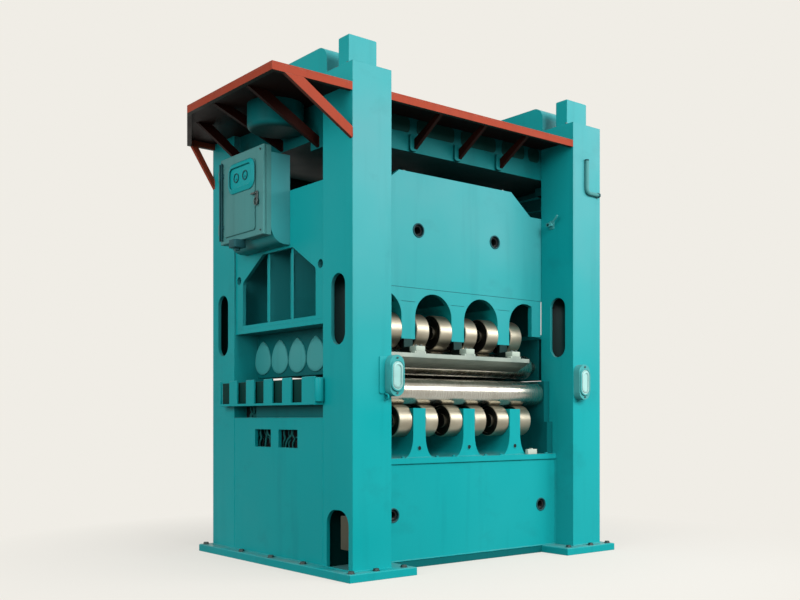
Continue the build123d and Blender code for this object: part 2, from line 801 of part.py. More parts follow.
# Gussets from the crown to the platform's front and rear edges
with BuildPart() as platform_gussets:
    for side in (-1, 1):
        for gusset_x in (-gusset_pitch, 0, gusset_pitch):
            with BuildSketch(Plane.YZ.offset(gusset_x - strut_thickness / 2)):
                with BuildLine():
                    Polyline(
                        (side * inner_y, gusset_foot_z + gusset_rise),
                        (side * inner_y, gusset_foot_z + gusset_rise + strut_width),
                        (side * (half_depth - platform_edge_width), edge_bottom + gusset_seat),
                        (side * (half_depth - platform_edge_width), edge_bottom),
                        close=True,
                    )
                make_face()
            extrude(amount=strut_thickness)
save(platform_gussets, "platform_gussets")

# Screw caps on the column tops and rounded drive covers between them
with BuildPart() as screw_caps:
    with BuildSketch(Plane.XY.offset(column_top)):
        with Locations(*[(side_x * column_x, side_y * (half_depth - screw_cap_inset))
                         for side_x in (-1, 1) for side_y in (-1, 1)]):
            Rectangle(screw_cap_width, screw_cap_depth)
    extrude(amount=screw_cap_top - column_top)
    fillet(screw_caps.edges().group_by(Axis.Z)[-1], screw_cap_radius)
save(screw_caps, "screw_caps")

drive_cover_half = inner_y - drive_cover_gap
with BuildPart() as drive_covers:
    for side in (-1, 1):
        with BuildSketch(Plane.YZ.offset(side * column_x - drive_cover_width / 2)) as cover_profile:
            with Locations((0, (deck_top + drive_cover_top) / 2)):
                Rectangle(2 * drive_cover_half, drive_cover_top - deck_top)
            fillet(cover_profile.vertices().group_by(Axis.Y)[-1], drive_cover_radius)
        extrude(amount=drive_cover_width)
save(drive_covers, "drive_covers")

# Curved cover on the left end of the press beam, with the electrical cabinet on it
cover_outer_x = -beam_half_width - cover_depth
with BuildPart() as side_cover:
    with BuildSketch(Plane.YZ.offset(-beam_half_width)) as cover_outline:
        with Locations(((cover_front_y + cover_rear_y) / 2, (cover_bottom + cover_top) / 2)):
            Rectangle(cover_rear_y - cover_front_y, cover_top - cover_bottom)
    extrude(amount=-cover_depth)
    fillet(side_cover.edges().filter_by(Axis.Y).group_by(Axis.X)[0].sort_by(Axis.Z)[0], cover_radius)
save(side_cover, "side_cover")

cabinet_outer_x = cover_outer_x - cabinet_depth
cabinet_width = cabinet_rear_y - cabinet_front_y
cabinet_height = cabinet_top - cabinet_bottom
cabinet_centre = ((cabinet_front_y + cabinet_rear_y) / 2, (cabinet_bottom + cabinet_top) / 2)
hinge_x = cabinet_outer_x - door_gap - door_thickness / 2
hinge_y = cabinet_rear_y + knuckle_diameter / 2 + hinge_offset
knuckle_zs = [cabinet_centre[1] - knuckle_spacing / 2, cabinet_centre[1] + knuckle_spacing / 2]
hinge_bracket_zs = [
    knuckle_zs[0] - (knuckle_height + hinge_bracket_thickness) / 2 - hinge_end_play,
    knuckle_zs[1] + (knuckle_height + hinge_bracket_thickness) / 2 + hinge_end_play,
]
hinge_outer_y = hinge_y + knuckle_diameter / 2
hinge_grip_x = cabinet_outer_x + hinge_bracket_grip
with BuildPart() as cabinet_body:
    with BuildSketch(Plane.YZ.offset(cover_outer_x)):
        with Locations(cabinet_centre):
            Rectangle(cabinet_width, cabinet_height)
    extrude(amount=-cabinet_depth)
    with BuildSketch(Plane.YZ.offset(cabinet_outer_x)):
        with Locations(cabinet_centre):
            Rectangle(cabinet_width - 2 * cabinet_wall, cabinet_height - 2 * cabinet_wall)
    extrude(amount=cabinet_depth - cabinet_wall, mode=Mode.SUBTRACT)
    for bracket_z in hinge_bracket_zs:
        with BuildSketch(Plane.XY.offset(bracket_z - hinge_bracket_thickness / 2)):
            with Locations(((cabinet_outer_x + hinge_grip_x) / 2, (cabinet_rear_y + hinge_outer_y) / 2)):
                Rectangle(hinge_bracket_grip, hinge_outer_y - cabinet_rear_y)
            with Locations(((hinge_x + hinge_grip_x) / 2, hinge_y)):
                Rectangle(hinge_grip_x - hinge_x, knuckle_diameter)
            with Locations((hinge_x, hinge_y)):
                Circle(knuckle_diameter / 2)
        extrude(amount=hinge_bracket_thickness)
    with Locations((hinge_x, hinge_y, cabinet_centre[1])):
        Cylinder(hinge_rod_diameter / 2, hinge_bracket_zs[-1] - hinge_bracket_zs[0] + hinge_bracket_thickness)
save(cabinet_body, "cabinet_body")


# Cabinet door, hung on the hinge rod by two knuckles
with BuildPart() as cabinet_door:
    with BuildSketch(Plane.YZ.offset(cabinet_outer_x - door_gap)):
        with Locations(cabinet_centre):
            Rectangle(cabinet_width, cabinet_height)
    extrude(amount=-door_thickness)
    chamfer(cabinet_door.faces().sort_by(Axis.X)[0].edges(), door_chamfer)
    with Locations(*[(hinge_x, (cabinet_rear_y + hinge_y) / 2, z) for z in knuckle_zs]):
        Box(knuckle_leaf, hinge_y - cabinet_rear_y, knuckle_height)
    with Locations(*[(hinge_x, hinge_y, z) for z in knuckle_zs]):
        Cylinder(knuckle_diameter / 2, knuckle_height)
        Cylinder(hinge_rod_diameter / 2 + hinge_clearance, knuckle_height, mode=Mode.SUBTRACT)
save(cabinet_door, "cabinet_door")

# Gauges on the front columns, each a long rounded face on a bracket
with BuildPart() as gauge_brackets:
    with BuildSketch(Plane.XZ.offset(half_depth)):
        with Locations(*[(x, gauge_z) for x in gauge_xs]):
            SlotOverall(
                gauge_height + 2 * gauge_rim + 2 * gauge_head,
                gauge_width + 2 * gauge_rim,
                rotation=90,
            )
    extrude(amount=gauge_depth)
save(gauge_brackets, "gauge_brackets")

with BuildPart() as gauge_faces:
    with BuildSketch(Plane.XZ.offset(half_depth + gauge_depth)):
        with Locations(*[(x, gauge_z) for x in gauge_xs]):
            SlotOverall(gauge_height, gauge_width, rotation=90)
    extrude(amount=gauge_face_depth)
save(gauge_faces, "gauge_faces")

# Bent pipe on the right front column
with BuildPart() as bent_pipe:
    with BuildLine() as pipe_path:
        FilletPolyline(
            (pipe_x, -half_depth - pipe_diameter / 2, pipe_top),
            (pipe_x, -half_depth - pipe_diameter / 2, pipe_bottom),
            (pipe_x + pipe_reach, -half_depth - pipe_diameter / 2, pipe_bottom),
            radius=pipe_bend,
        )
    with BuildSketch(Plane.XY.offset(pipe_top)):
        with Locations((pipe_x, -half_depth - pipe_diameter / 2)):
            Circle(pipe_diameter / 2)
    sweep(path=pipe_path.wire())
save(bent_pipe, "bent_pipe")
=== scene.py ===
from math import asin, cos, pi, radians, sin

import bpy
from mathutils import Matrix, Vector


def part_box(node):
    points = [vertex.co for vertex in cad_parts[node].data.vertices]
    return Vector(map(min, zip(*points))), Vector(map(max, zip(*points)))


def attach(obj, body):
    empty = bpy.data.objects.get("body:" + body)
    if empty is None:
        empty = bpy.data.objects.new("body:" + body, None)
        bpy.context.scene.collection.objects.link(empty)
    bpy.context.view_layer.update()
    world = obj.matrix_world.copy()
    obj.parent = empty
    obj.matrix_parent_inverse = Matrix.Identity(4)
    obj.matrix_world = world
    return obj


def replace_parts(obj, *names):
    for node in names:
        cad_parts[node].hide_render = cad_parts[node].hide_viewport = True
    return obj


bl_info = {
    "name": "Plate leveler dressing",
    "version": (1, 0, 0),
    "blender": (4, 5, 0),
    "location": "View3D > Sidebar > Leveler",
    "description": "Paint, steel finishes and small fittings for a four-column plate leveling machine",
    "category": "Object",
}

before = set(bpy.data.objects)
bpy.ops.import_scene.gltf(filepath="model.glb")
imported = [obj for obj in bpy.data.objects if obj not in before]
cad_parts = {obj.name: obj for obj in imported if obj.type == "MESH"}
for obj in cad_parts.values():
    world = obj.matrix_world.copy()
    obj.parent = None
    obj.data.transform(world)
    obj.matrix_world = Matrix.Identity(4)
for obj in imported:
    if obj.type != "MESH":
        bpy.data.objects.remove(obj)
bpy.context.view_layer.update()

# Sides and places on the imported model, in metres
SIDES = (-1, 1)
CORNERS = [(sx, sy) for sx in SIDES for sy in SIDES]
PILLAR_XS = (-0.713, 0.0, 0.713)
COLUMN_INNER = 1.344
COLUMN_BACK = 0.89
COLUMN_CENTRE = (1.582, 1.15)
SOLE_SEAM_Z = 0.083
BEAM_PORTS = ((-0.572, 3.585), (0.572, 3.585))
BED_PORTS = ((-1.1, 0.56), (1.1, 0.56))


def low(node):
    return Vector(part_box(node)[0])


def high(node):
    return Vector(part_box(node)[1])


# Settings

def a_colour(name, description, default):
    return bpy.props.FloatVectorProperty(
        name=name, description=description, subtype="COLOR", size=3, min=0, max=1, default=default)


def a_length(name, description, smallest, largest, default):
    return bpy.props.FloatProperty(
        name=name, description=description, unit="LENGTH", min=smallest, max=largest, default=default)


def a_place(name, description, default):
    return bpy.props.FloatVectorProperty(
        name=name, description=description, subtype="TRANSLATION", unit="LENGTH", size=3, default=default)


def a_share(name, description, largest, default):
    return bpy.props.FloatProperty(name=name, description=description, min=0, max=largest, default=default)


def a_power(name, description, default):
    return bpy.props.FloatProperty(
        name=name, description=description, subtype="POWER", min=0, max=20000, default=default)


class LEVELER_PG_paint(bpy.types.PropertyGroup):
    """Colours of the machine's paints and metals."""
    enamel: a_colour("Enamel", "Machine enamel on the frame and the beam", (0.003, 0.325, 0.338))
    enamel_faded: a_colour("Faded enamel", "Enamel where it has chalked or been sprayed thin", (0.016, 0.380, 0.392))
    # Painted sheen: this colour lightens the upper front faces
    painted_sheen: a_colour("Painted sheen", "Dull film on the upper front faces", (0.085, 0.330, 0.350))
    red_oxide: a_colour("Red oxide", "Primer red of the platform", (0.300, 0.042, 0.018))
    cabinet: a_colour("Cabinet grey-green", "Enamel of the cabinet and the roll covers", (0.060, 0.240, 0.235))
    steel: a_colour("Roll steel", "Ground steel of the work rolls", (0.46, 0.45, 0.40))
    oiled_steel: a_colour("Oiled steel", "Turned steel of the backup rollers under an oil film", (0.37, 0.34, 0.265))
    # This colour is the grime in patches and also the painted shade on downward faces
    grime_and_shade: a_colour("Grime and shade", "Oily dirt in corners and streaks", (0.012, 0.022, 0.018))
    dust: a_colour("Dust", "Workshop dust on upward faces", (0.30, 0.33, 0.30))


class LEVELER_PG_fittings(bpy.types.PropertyGroup):
    """Sizes of the small fittings."""
    bolt: a_length("Bolt head", "Width of a frame bolt's head across its corners", 0.01, 0.1, 0.046)
    weld: a_length("Weld bead", "Radius of the fillet weld beads", 0.002, 0.03, 0.008)
    ring: a_length("Port ring", "How far a port's ring stands proud of its plate", 0.001, 0.05, 0.008)


class LEVELER_PG_stage(bpy.types.PropertyGroup):
    """Floor, light and camera."""
    backdrop: a_colour("Backdrop", "Colour of the pale floor and background", (0.871, 0.847, 0.791))
    floor: a_colour("Floor", "Colour of the lit floor near the machine", (0.26, 0.25, 0.235))
    floor_lift: a_share("Floor lift", "Glow that brings the lit floor up to the backdrop", 1, 0.66)
    floor_bounce: a_colour("Floor bounce", "Colour of the light that the floor throws back", (0.14, 0.135, 0.13))
    fade_start: a_length("Fade start", "Distance at which the floor starts to melt into the backdrop", 1, 50, 2.8)
    fade_end: a_length("Fade end", "Distance at which the floor is the backdrop", 1, 50, 5.5)
    camera_place: a_place("Camera place", "Where the camera stands", (-7.418, -9.055, 1.55))
    camera_turn: bpy.props.FloatProperty(
        name="Camera turn", description="Turn of the level camera about the vertical", subtype="ANGLE",
        default=radians(-38.89))
    lens: bpy.props.FloatProperty(
        name="Lens", description="Focal length on a 36 mm sensor", min=10, max=200, default=44.49)
    rise: a_share("Rise", "Upward shift of the view, as a share of its width", 0.5, 0.149)
    key_power: a_power("Key light", "Power of the large soft light in front", 1500)
    key_place: a_place("Key place", "Where the large soft light hangs", (-0.5, -13.0, 8.5))
    window_power: a_power("Window light", "Power of the wide light that gives the rolls their sheen", 1100)
    window_place: a_place("Window place", "Middle of the wide light", (8.5, -11.5, 7.2))
    fill_power: a_power("Fill light", "Power of the light at the left", 800)
    fill_place: a_place("Fill place", "Where the light at the left hangs", (-13.0, -3.0, 6.0))
    sky: a_share("Sky", "Strength of the even light from all round", 3, 0.40)


def paint():
    return bpy.context.scene.leveler_paint


def fittings():
    return bpy.context.scene.leveler_fittings


# Shader node groups

def fill(tree, node, values):
    """Set a node's inputs by name or number, and link those whose value is a socket."""
    for key, value in values.items():
        if hasattr(value, "is_output"):
            tree.links.new(value, node.inputs[key])
        else:
            node.inputs[key].default_value = value
    return node


def add_node(tree, kind, values=None, **settings):
    """Add a node to a tree with its settings and its inputs."""
    node = tree.nodes.new(kind)
    for key, value in settings.items():
        setattr(node, key, value)
    return fill(tree, node, values or {})


def new_group(name, inputs, outputs):
    """Start a shader node group with its sockets, each of a kind or with a number, and its two end nodes."""
    group = bpy.data.node_groups.new(name, "ShaderNodeTree")
    for label, kind in inputs.items():
        named = isinstance(kind, str)
        socket_type = "NodeSocket" + (kind if named else "Float")
        socket = group.interface.new_socket(label, in_out="INPUT", socket_type=socket_type)
        if not named:
            socket.default_value = kind
    for label, kind in outputs.items():
        group.interface.new_socket(label, in_out="OUTPUT", socket_type="NodeSocket" + kind)
    return group, group.nodes.new("NodeGroupInput").outputs, group.nodes.new("NodeGroupOutput")


def blend_colours(tree, factor, a, b, mode="MIX"):
    """Mix two colours by a factor; each may be a socket or a value."""
    return add_node(tree, "ShaderNodeMix", {0: factor, 6: a, 7: b}, data_type="RGBA", blend_type=mode).outputs[2]


def maths(tree, operation, a, b=0.5, clamp=False):
    return add_node(tree, "ShaderNodeMath", {0: a, 1: b}, operation=operation, use_clamp=clamp).outputs[0]


def times(tree, first, *others):
    for other in others:
        first = maths(tree, "MULTIPLY", first, other)
    return first


def apart(tree, vector):
    """The three parts of a vector."""
    return add_node(tree, "ShaderNodeSeparateXYZ", {0: vector}).outputs


def object_place(tree):
    return add_node(tree, "ShaderNodeTexCoord").outputs["Object"]


def surface_normal(tree):
    return add_node(tree, "ShaderNodeNewGeometry").outputs["Normal"]


def noise(tree, coordinates, scale, detail=4.0, stretch=(1, 1, 1), roughness=0.5):
    """Noise on coordinates that are stretched first."""
    mapping = add_node(tree, "ShaderNodeMapping", {"Vector": coordinates, "Scale": stretch})
    return add_node(tree, "ShaderNodeTexNoise", {
        "Vector": mapping.outputs[0], "Scale": scale, "Detail": detail, "Roughness": roughness}).outputs["Fac"]


def remap(tree, value, low_in, high_in, low_out=0.0, high_out=1.0):
    """Clamped linear remap of a value."""
    return add_node(tree, "ShaderNodeMapRange", {
        "Value": value, "From Min": low_in, "From Max": high_in, "To Min": low_out,
        "To Max": high_out}).outputs["Result"]


def sprayed_coat():
    """Sprayed enamel: cloudy tone, a painted sheen on high front faces, vertical streaks and orange peel."""
    group, start, end = new_group(
        "Sprayed coat",
        {"Color": "Color", "Faded": "Color", "Clouds": 0.5, "Streaks": 0.3, "Gloss": 0.35, "Painted sheen": "Color",
         "Painted sheen amount": 0.0},
        {"Color": "Color", "Roughness": "Float", "Height": "Float"})
    place = object_place(group)
    clouds = times(group, remap(group, noise(group, place, 0.40, 3.0), 0.36, 0.68), start["Clouds"])
    tone = blend_colours(group, clouds, start["Color"], start["Faded"])
    height, front = apart(group, place)["Z"], apart(group, surface_normal(group))["Y"]
    # Painted sheen: high faces that look to the front are lightened towards the sheen colour
    gleam = times(group, remap(group, height, 1.6, 4.4), remap(group, front, -0.2, -0.9),
                 remap(group, noise(group, place, 0.9, 5.0), 0.30, 0.66, 0.55, 1.0), start["Painted sheen amount"])
    tone = blend_colours(group, gleam, tone, start["Painted sheen"])
    streaks = remap(group, noise(group, place, 1.6, 4.0, (4, 4, 0.30), 0.55), 0.54, 0.80)
    tone = blend_colours(group, times(group, streaks, start["Streaks"]), tone, (0.35, 0.45, 0.45, 1), "MULTIPLY")
    rough = remap(group, noise(group, place, 1.7, 4.0), 0.3, 0.7, -0.06, 0.10)
    fill(group, end, {"Color": tone, "Roughness": maths(group, "ADD", rough, start["Gloss"], True),
                      "Height": noise(group, place, 70, 2.0)})
    return group


def worn_edges():
    """Paint rubbed thin along edges, with a normal that rounds the edges."""
    group, start, end = new_group(
        "Worn edges", {"Color": "Color", "Worn": "Color", "Amount": 0.5},
        {"Color": "Color", "Mask": "Float", "Normal": "Vector"})
    rounded = add_node(group, "ShaderNodeBevel", {"Radius": 0.006}, samples=3).outputs[0]
    facing = add_node(group, "ShaderNodeVectorMath", {0: rounded, 1: surface_normal(group)},
                      operation="DOT_PRODUCT").outputs["Value"]
    broken = remap(group, noise(group, object_place(group), 5.5, 6.0, roughness=0.65), 0.42, 0.60)
    mask = times(group, remap(group, facing, 0.985, 0.80), broken, start["Amount"])
    fill(group, end, {"Color": blend_colours(group, mask, start["Color"], start["Worn"]), "Mask": mask,
                      "Normal": rounded})
    return group


def dirt_and_underside_shade():
    """Dust on upward faces, painted shade on downward faces and grime in patches."""
    group, start, end = new_group(
        "Dirt and underside shade",
        {"Color": "Color", "Dust": "Color", "Grime and shade": "Color", "Dust amount": 0.4, "Underside shade": 0.2, "Patches": 0.2},
        {"Color": "Color", "Mask": "Float"})
    upward, place = apart(group, surface_normal(group))["Z"], object_place(group)
    dusty = times(group, remap(group, upward, 0.55, 0.95),
                  remap(group, noise(group, place, 2.5, 6.0), 0.30, 0.62), start["Dust amount"])
    # Painted shade: faces that look down are darkened towards the grime colour
    shade_below = times(group, remap(group, upward, -0.55, -0.95), start["Underside shade"])
    patch = remap(group, noise(group, place, 1.3, 8.0, (1, 1, 1.4), 0.62), 0.58, 0.74)
    tone = blend_colours(group, dusty, start["Color"], start["Dust"])
    tone = blend_colours(group, shade_below, tone, start["Grime and shade"])
    tone = blend_colours(group, times(group, patch, start["Patches"]), tone, start["Grime and shade"])
    fill(group, end, {"Color": tone, "Mask": dusty})
    return group


def turned_grain():
    """Fine rings round the X axis, as a lathe or grinder leaves them, and painted shade on the end faces."""
    group, start, end = new_group(
        "Turned grain",
        {"Color": "Color", "Stain": "Color", "Stains": 0.4, "Rings": 60.0, "Gloss": 0.25, "End shade": 0.0},
        {"Color": "Color", "Roughness": "Float", "Height": "Float"})
    place = object_place(group)
    stretched = add_node(group, "ShaderNodeVectorMath", {0: place, 1: (1, 0.01, 0.01)}, operation="MULTIPLY")
    rings = add_node(group, "ShaderNodeTexNoise", {
        "Vector": stretched.outputs[0], "Scale": start["Rings"], "Detail": 3.0}).outputs["Fac"]
    stain = remap(group, noise(group, place, 2.4, 6.0, (1.4, 3, 3)), 0.42, 0.68)
    tone = blend_colours(group, times(group, stain, start["Stains"]), start["Color"], start["Stain"])
    # Painted shade: faces that look along X are darkened towards near black
    sideways = maths(group, "ABSOLUTE", apart(group, surface_normal(group))["X"])
    end_face_shade = times(group, remap(group, sideways, 0.80, 0.98), start["End shade"])
    rough = remap(group, rings, 0.3, 0.7, -0.03, 0.05)
    fill(group, end, {"Color": blend_colours(group, end_face_shade, tone, (0.03, 0.035, 0.03, 1)),
                      "Roughness": maths(group, "ADD", rough, start["Gloss"], True), "Height": rings})
    return group


def boxed_shade():
    """Darker paint inside a box that is mirrored in X and Y, for hollows that light doesn't reach."""
    group, start, end = new_group(
        "Boxed shade",
        {"Color": "Color", "Shade": "Color", "Centre": "Vector", "Reach": "Vector", "Amount": 0.0},
        {"Color": "Color"})
    folded = add_node(group, "ShaderNodeVectorMath", {0: object_place(group)}, operation="ABSOLUTE")
    offset = add_node(group, "ShaderNodeVectorMath", {0: folded.outputs[0], 1: start["Centre"]},
                      operation="SUBTRACT")
    distance = add_node(group, "ShaderNodeVectorMath", {0: offset.outputs[0]}, operation="ABSOLUTE")
    gone, reach = apart(group, distance.outputs[0]), apart(group, start["Reach"])
    mask = times(group, start["Amount"], *[maths(group, "LESS_THAN", gone[axis], reach[axis]) for axis in "XYZ"])
    fill(group, end, {"Color": blend_colours(group, mask, start["Color"], start["Shade"])})
    return group


# Materials: each finish has a material's name and a slot, and nodes that aren't listed have the enamel

FINISHES = {
    "enamel": ("Machine enamel", "teal_paint"), "column": ("Column enamel", "teal_paint"),
    "shadowed": ("Painted shade enamel", "teal_paint"), "deep": ("Deep shade enamel", "teal_paint"),
    "red": ("Red oxide paint", "red_oxide_paint"), "cabinet": ("Cabinet enamel", "grey_green_paint"),
    "cast": ("Cast cover paint", "grey_green_paint"), "dark": ("Dark pipe paint", "grey_paint"),
    "rubber": ("Cable rubber", "grey_paint"), "cable": ("Teal cable sheath", "grey_paint"),
    "filler": ("Dull primer", "grey_paint"), "face": ("Gauge cover", "pale_face"),
    "pale": ("Pale primed block", "pale_face"), "roll": ("Ground roll steel", "polished_steel"),
    "backup": ("Oiled roller steel", "satin_steel"), "bare": ("Bare guide steel", "bare_steel"),
    "bolt": ("Blackened bolt steel", "bare_steel"),
}
NODE_FINISHES = {
    "column": ["column_front_left", "column_front_right", "column_rear_left", "column_rear_right"],
    "shadowed": ["bed_bottom_plate", "lower_bearing_housings", "guard_side_beams", "crown_beam", "crown_apron",
                 "drive_housing", "beam_cover_plates", "beam_end_webs", "upper_bearing_housings"],
    "red": ["platform_deck", "platform_edge", "platform_struts", "platform_gussets"],
    "cabinet": ["cabinet_body", "cabinet_door", "bent_pipe"],
    "cast": ["upper_roll_caps", "gauge_brackets"],
    "face": ["gauge_faces"],
    "bare": ["plate_guides"],
    "backup": ["lower_backup_front", "lower_backup_inner", "upper_backup_front", "upper_backup_inner"],
}


def with_alpha(tone):
    return (*tone[:3], 1.0)


def shades(tone, factor):
    return tuple(min(1.0, channel * factor) for channel in tone[:3]) + (1.0,)


def finish_of(key):
    return bpy.data.materials[FINISHES[key][0]]


def new_material(name):
    material = bpy.data.materials.new(name)
    material.use_nodes = True
    tree = material.node_tree
    return material, tree, tree.nodes["Principled BSDF"]


def use_group(tree, group, values):
    """Place a node group in a material with its own values or links, and give its outputs."""
    return add_node(tree, "ShaderNodeGroup", values, node_tree=group).outputs


def shaded(tree, groups, tone, hollow):
    """The colour, darkened inside a hollow of (centre, reach, shade) if there is one."""
    if not hollow:
        return tone
    centre, reach, shade = hollow
    return use_group(tree, groups["hollow"], {
        "Color": tone, "Shade": shade, "Centre": centre, "Reach": reach, "Amount": 0.94})["Color"]


def uneven(tree, height, normal, strength, distance):
    """The normal of a surface with fine relief."""
    return add_node(tree, "ShaderNodeBump", {
        "Strength": strength, "Distance": distance, "Height": height, "Normal": normal}).outputs[0]


def painted(key, groups, tone, faded, clouds=0.5, streaks=0.3, gloss=0.35, wear=0.5, worn=None,
            dust=0.4, underside_shade=0.2, patches=0.15, shine=0.07, painted_sheen=0.0, hollow=None):
    """A sprayed paint with worn edges, dust, grime, painted shade on undersides, a painted sheen on high front faces
    and, if given, painted shade in a hollow of (centre, reach, shade).
    """
    tree, shader = new_material(FINISHES[key][0])[1:]
    coat = use_group(tree, groups["coat"], {
        "Color": with_alpha(tone), "Faded": with_alpha(faded), "Clouds": clouds, "Streaks": streaks,
        "Gloss": gloss, "Painted sheen": with_alpha(paint().painted_sheen), "Painted sheen amount": painted_sheen})
    edges = use_group(tree, groups["edges"], {
        "Color": coat["Color"], "Worn": worn or shades(faded, 1.5), "Amount": wear})
    dirt_and_shade = use_group(tree, groups["dirt_and_shade"], {
        "Color": edges["Color"], "Dust": with_alpha(paint().dust), "Grime and shade": with_alpha(paint().grime_and_shade),
        "Dust amount": dust, "Underside shade": underside_shade, "Patches": patches})
    fill(tree, shader, {
        "Base Color": shaded(tree, groups, dirt_and_shade["Color"], hollow), "Roughness": coat["Roughness"],
        "Normal": uneven(tree, coat["Height"], edges["Normal"], 0.06, 0.002), "Specular IOR Level": shine})


def steel(key, groups, tone, stain, stains=0.35, rings=60.0, gloss=0.25, end_shade=0.0, hollow=None):
    """Turned or ground steel with light stains, painted shade on the end faces by choice, and painted shade in a
    hollow if given.
    """
    tree, shader = new_material(FINISHES[key][0])[1:]
    grain = use_group(tree, groups["grain"], {
        "Color": with_alpha(tone), "Stain": with_alpha(stain), "Stains": stains, "Rings": rings, "Gloss": gloss,
        "End shade": end_shade})
    edges = use_group(tree, groups["edges"], {
        "Color": grain["Color"], "Worn": shades(tone, 1.2), "Amount": 0.4})
    fill(tree, shader, {
        "Base Color": shaded(tree, groups, edges["Color"], hollow), "Roughness": grain["Roughness"],
        "Normal": uneven(tree, grain["Height"], edges["Normal"], 0.035, 0.0006), "Metallic": 1.0})


def build_materials():
    """All the finishes."""
    g = {"coat": sprayed_coat(), "edges": worn_edges(), "dirt_and_shade": dirt_and_underside_shade(), "grain": turned_grain(),
         "hollow": boxed_shade()}
    p = paint()
    # Painted shade: dark boxes inside the hollow columns, behind the guide arms and under the platform deck
    column_hollow_shade = ((1.582, 1.14, 2.5), (0.199, 0.211, 5.0), (0.0, 0.022, 0.019, 1))
    guide_shade = ((0.0, 0.50, 2.36), (5.0, 0.52, 0.11), (0.002, 0.018, 0.018, 1))
    deck_shade = ((0.0, 0.0, 4.43), (2.655, 1.335, 0.355), (0.011, 0.003, 0.002, 1))
    painted("enamel", g, p.enamel, p.enamel_faded, streaks=0.2, wear=0.35, underside_shade=0.5, painted_sheen=0.85)
    painted("column", g, p.enamel, p.enamel_faded, clouds=0.75, streaks=0.2, wear=0.4, painted_sheen=1.0,
            hollow=column_hollow_shade)
    # A darker copy of the enamel: painted shade on parts that sit in shadow
    painted("shadowed", g, shades(p.enamel, 0.36), shades(p.enamel_faded, 0.4), clouds=0.3, streaks=0.35,
            gloss=0.5, wear=0.3, underside_shade=0.7, patches=0.45)
    painted("red", g, p.red_oxide, (0.34, 0.055, 0.026), clouds=0.6, gloss=0.5, worn=(0.45, 0.35, 0.28, 1),
            underside_shade=0.95, hollow=deck_shade)
    painted("deep", g, (0.002, 0.034, 0.029), (0.004, 0.050, 0.044), gloss=0.6, patches=0.2)
    painted("cabinet", g, p.cabinet, (0.10, 0.30, 0.29), clouds=0.7, patches=0.3)
    painted("cast", g, (0.045, 0.33, 0.33), (0.14, 0.46, 0.45), clouds=0.7, gloss=0.4, wear=0.7, patches=0.2)
    painted("dark", g, (0.012, 0.075, 0.085), (0.03, 0.13, 0.14), gloss=0.4, patches=0.2)
    painted("face", g, (0.38, 0.66, 0.62), (0.52, 0.74, 0.70), clouds=0.6, gloss=0.3, wear=0.3, patches=0.25)
    painted("rubber", g, (0.010, 0.012, 0.013), (0.030, 0.034, 0.034), gloss=0.55, dust=0.5, patches=0.1)
    steel("roll", g, p.steel, (0.22, 0.18, 0.13), stains=0.40, rings=420, gloss=0.24)
    steel("backup", g, p.oiled_steel, (0.15, 0.125, 0.085), stains=0.40, rings=260, gloss=0.40, end_shade=0.92)
    steel("bare", g, (0.23, 0.27, 0.24), (0.10, 0.15, 0.14), stains=0.45, rings=160, gloss=0.42,
          hollow=guide_shade)
    painted("filler", g, (0.085, 0.082, 0.058), (0.12, 0.12, 0.09), gloss=0.6, patches=0.3)
    painted("cable", g, (0.010, 0.115, 0.110), (0.02, 0.17, 0.16), gloss=0.5, dust=0.2, patches=0.3)
    painted("pale", g, (0.42, 0.50, 0.42), (0.55, 0.60, 0.52), clouds=0.6, gloss=0.5, wear=0.6, patches=0.35)
    steel("bolt", g, (0.10, 0.13, 0.13), (0.03, 0.04, 0.04), stains=0.5, rings=30, gloss=0.45)


# Modelling helpers

def clear_selection():
    bpy.ops.object.select_all(action="DESELECT")


def take(obj):
    """Select one object and make it active."""
    clear_selection()
    obj.select_set(True)
    bpy.context.view_layer.objects.active = obj
    return obj


def settle(obj):
    """Put an object's place, turn and size into its mesh."""
    take(obj)
    bpy.ops.object.transform_apply(location=True, rotation=True, scale=True)
    return obj


def start_edit(obj, kind):
    """Unselect all of a mesh with one kind of selection on, and leave it in object mode."""
    take(obj)
    bpy.ops.object.mode_set(mode="EDIT")
    bpy.ops.mesh.select_mode(type=kind)
    bpy.ops.mesh.select_all(action="DESELECT")
    bpy.ops.object.mode_set(mode="OBJECT")


def pick_faces(obj, facing, both=False):
    """Enter edit mode with the faces that look along a direction selected, or along and against it."""
    start_edit(obj, "FACE")
    for face in obj.data.polygons:
        along = face.normal.dot(Vector(facing))
        face.select = (abs(along) if both else along) > 0.9
    bpy.ops.object.mode_set(mode="EDIT")


def pick_edges(obj, direction):
    """Enter edit mode with the edges that run along a direction selected."""
    start_edit(obj, "EDGE")
    points = obj.data.vertices
    for edge in obj.data.edges:
        a, b = (points[index].co for index in edge.vertices)
        edge.select = abs((b - a).normalized().dot(direction)) > 0.9
    bpy.ops.object.mode_set(mode="EDIT")


def leave_edit():
    bpy.ops.object.mode_set(mode="OBJECT")


def leave_edit_closed():
    """Turn all normals outward and leave edit mode."""
    bpy.ops.mesh.select_all(action="SELECT")
    bpy.ops.mesh.normals_make_consistent(inside=False)
    leave_edit()


def inset_faces(obj, facing, *steps):
    """Inset the faces that look along a direction, in steps of (thickness, depth)."""
    pick_faces(obj, facing)
    for thickness, depth in steps:
        bpy.ops.mesh.inset(thickness=thickness, depth=depth)
    leave_edit()
    return obj


def bore(obj, axis, wall):
    """Open a solid piece along an axis, so that a wall is left."""
    pick_faces(obj, axis, both=True)
    bpy.ops.mesh.inset(thickness=wall)
    bpy.ops.mesh.bridge_edge_loops()
    leave_edit_closed()


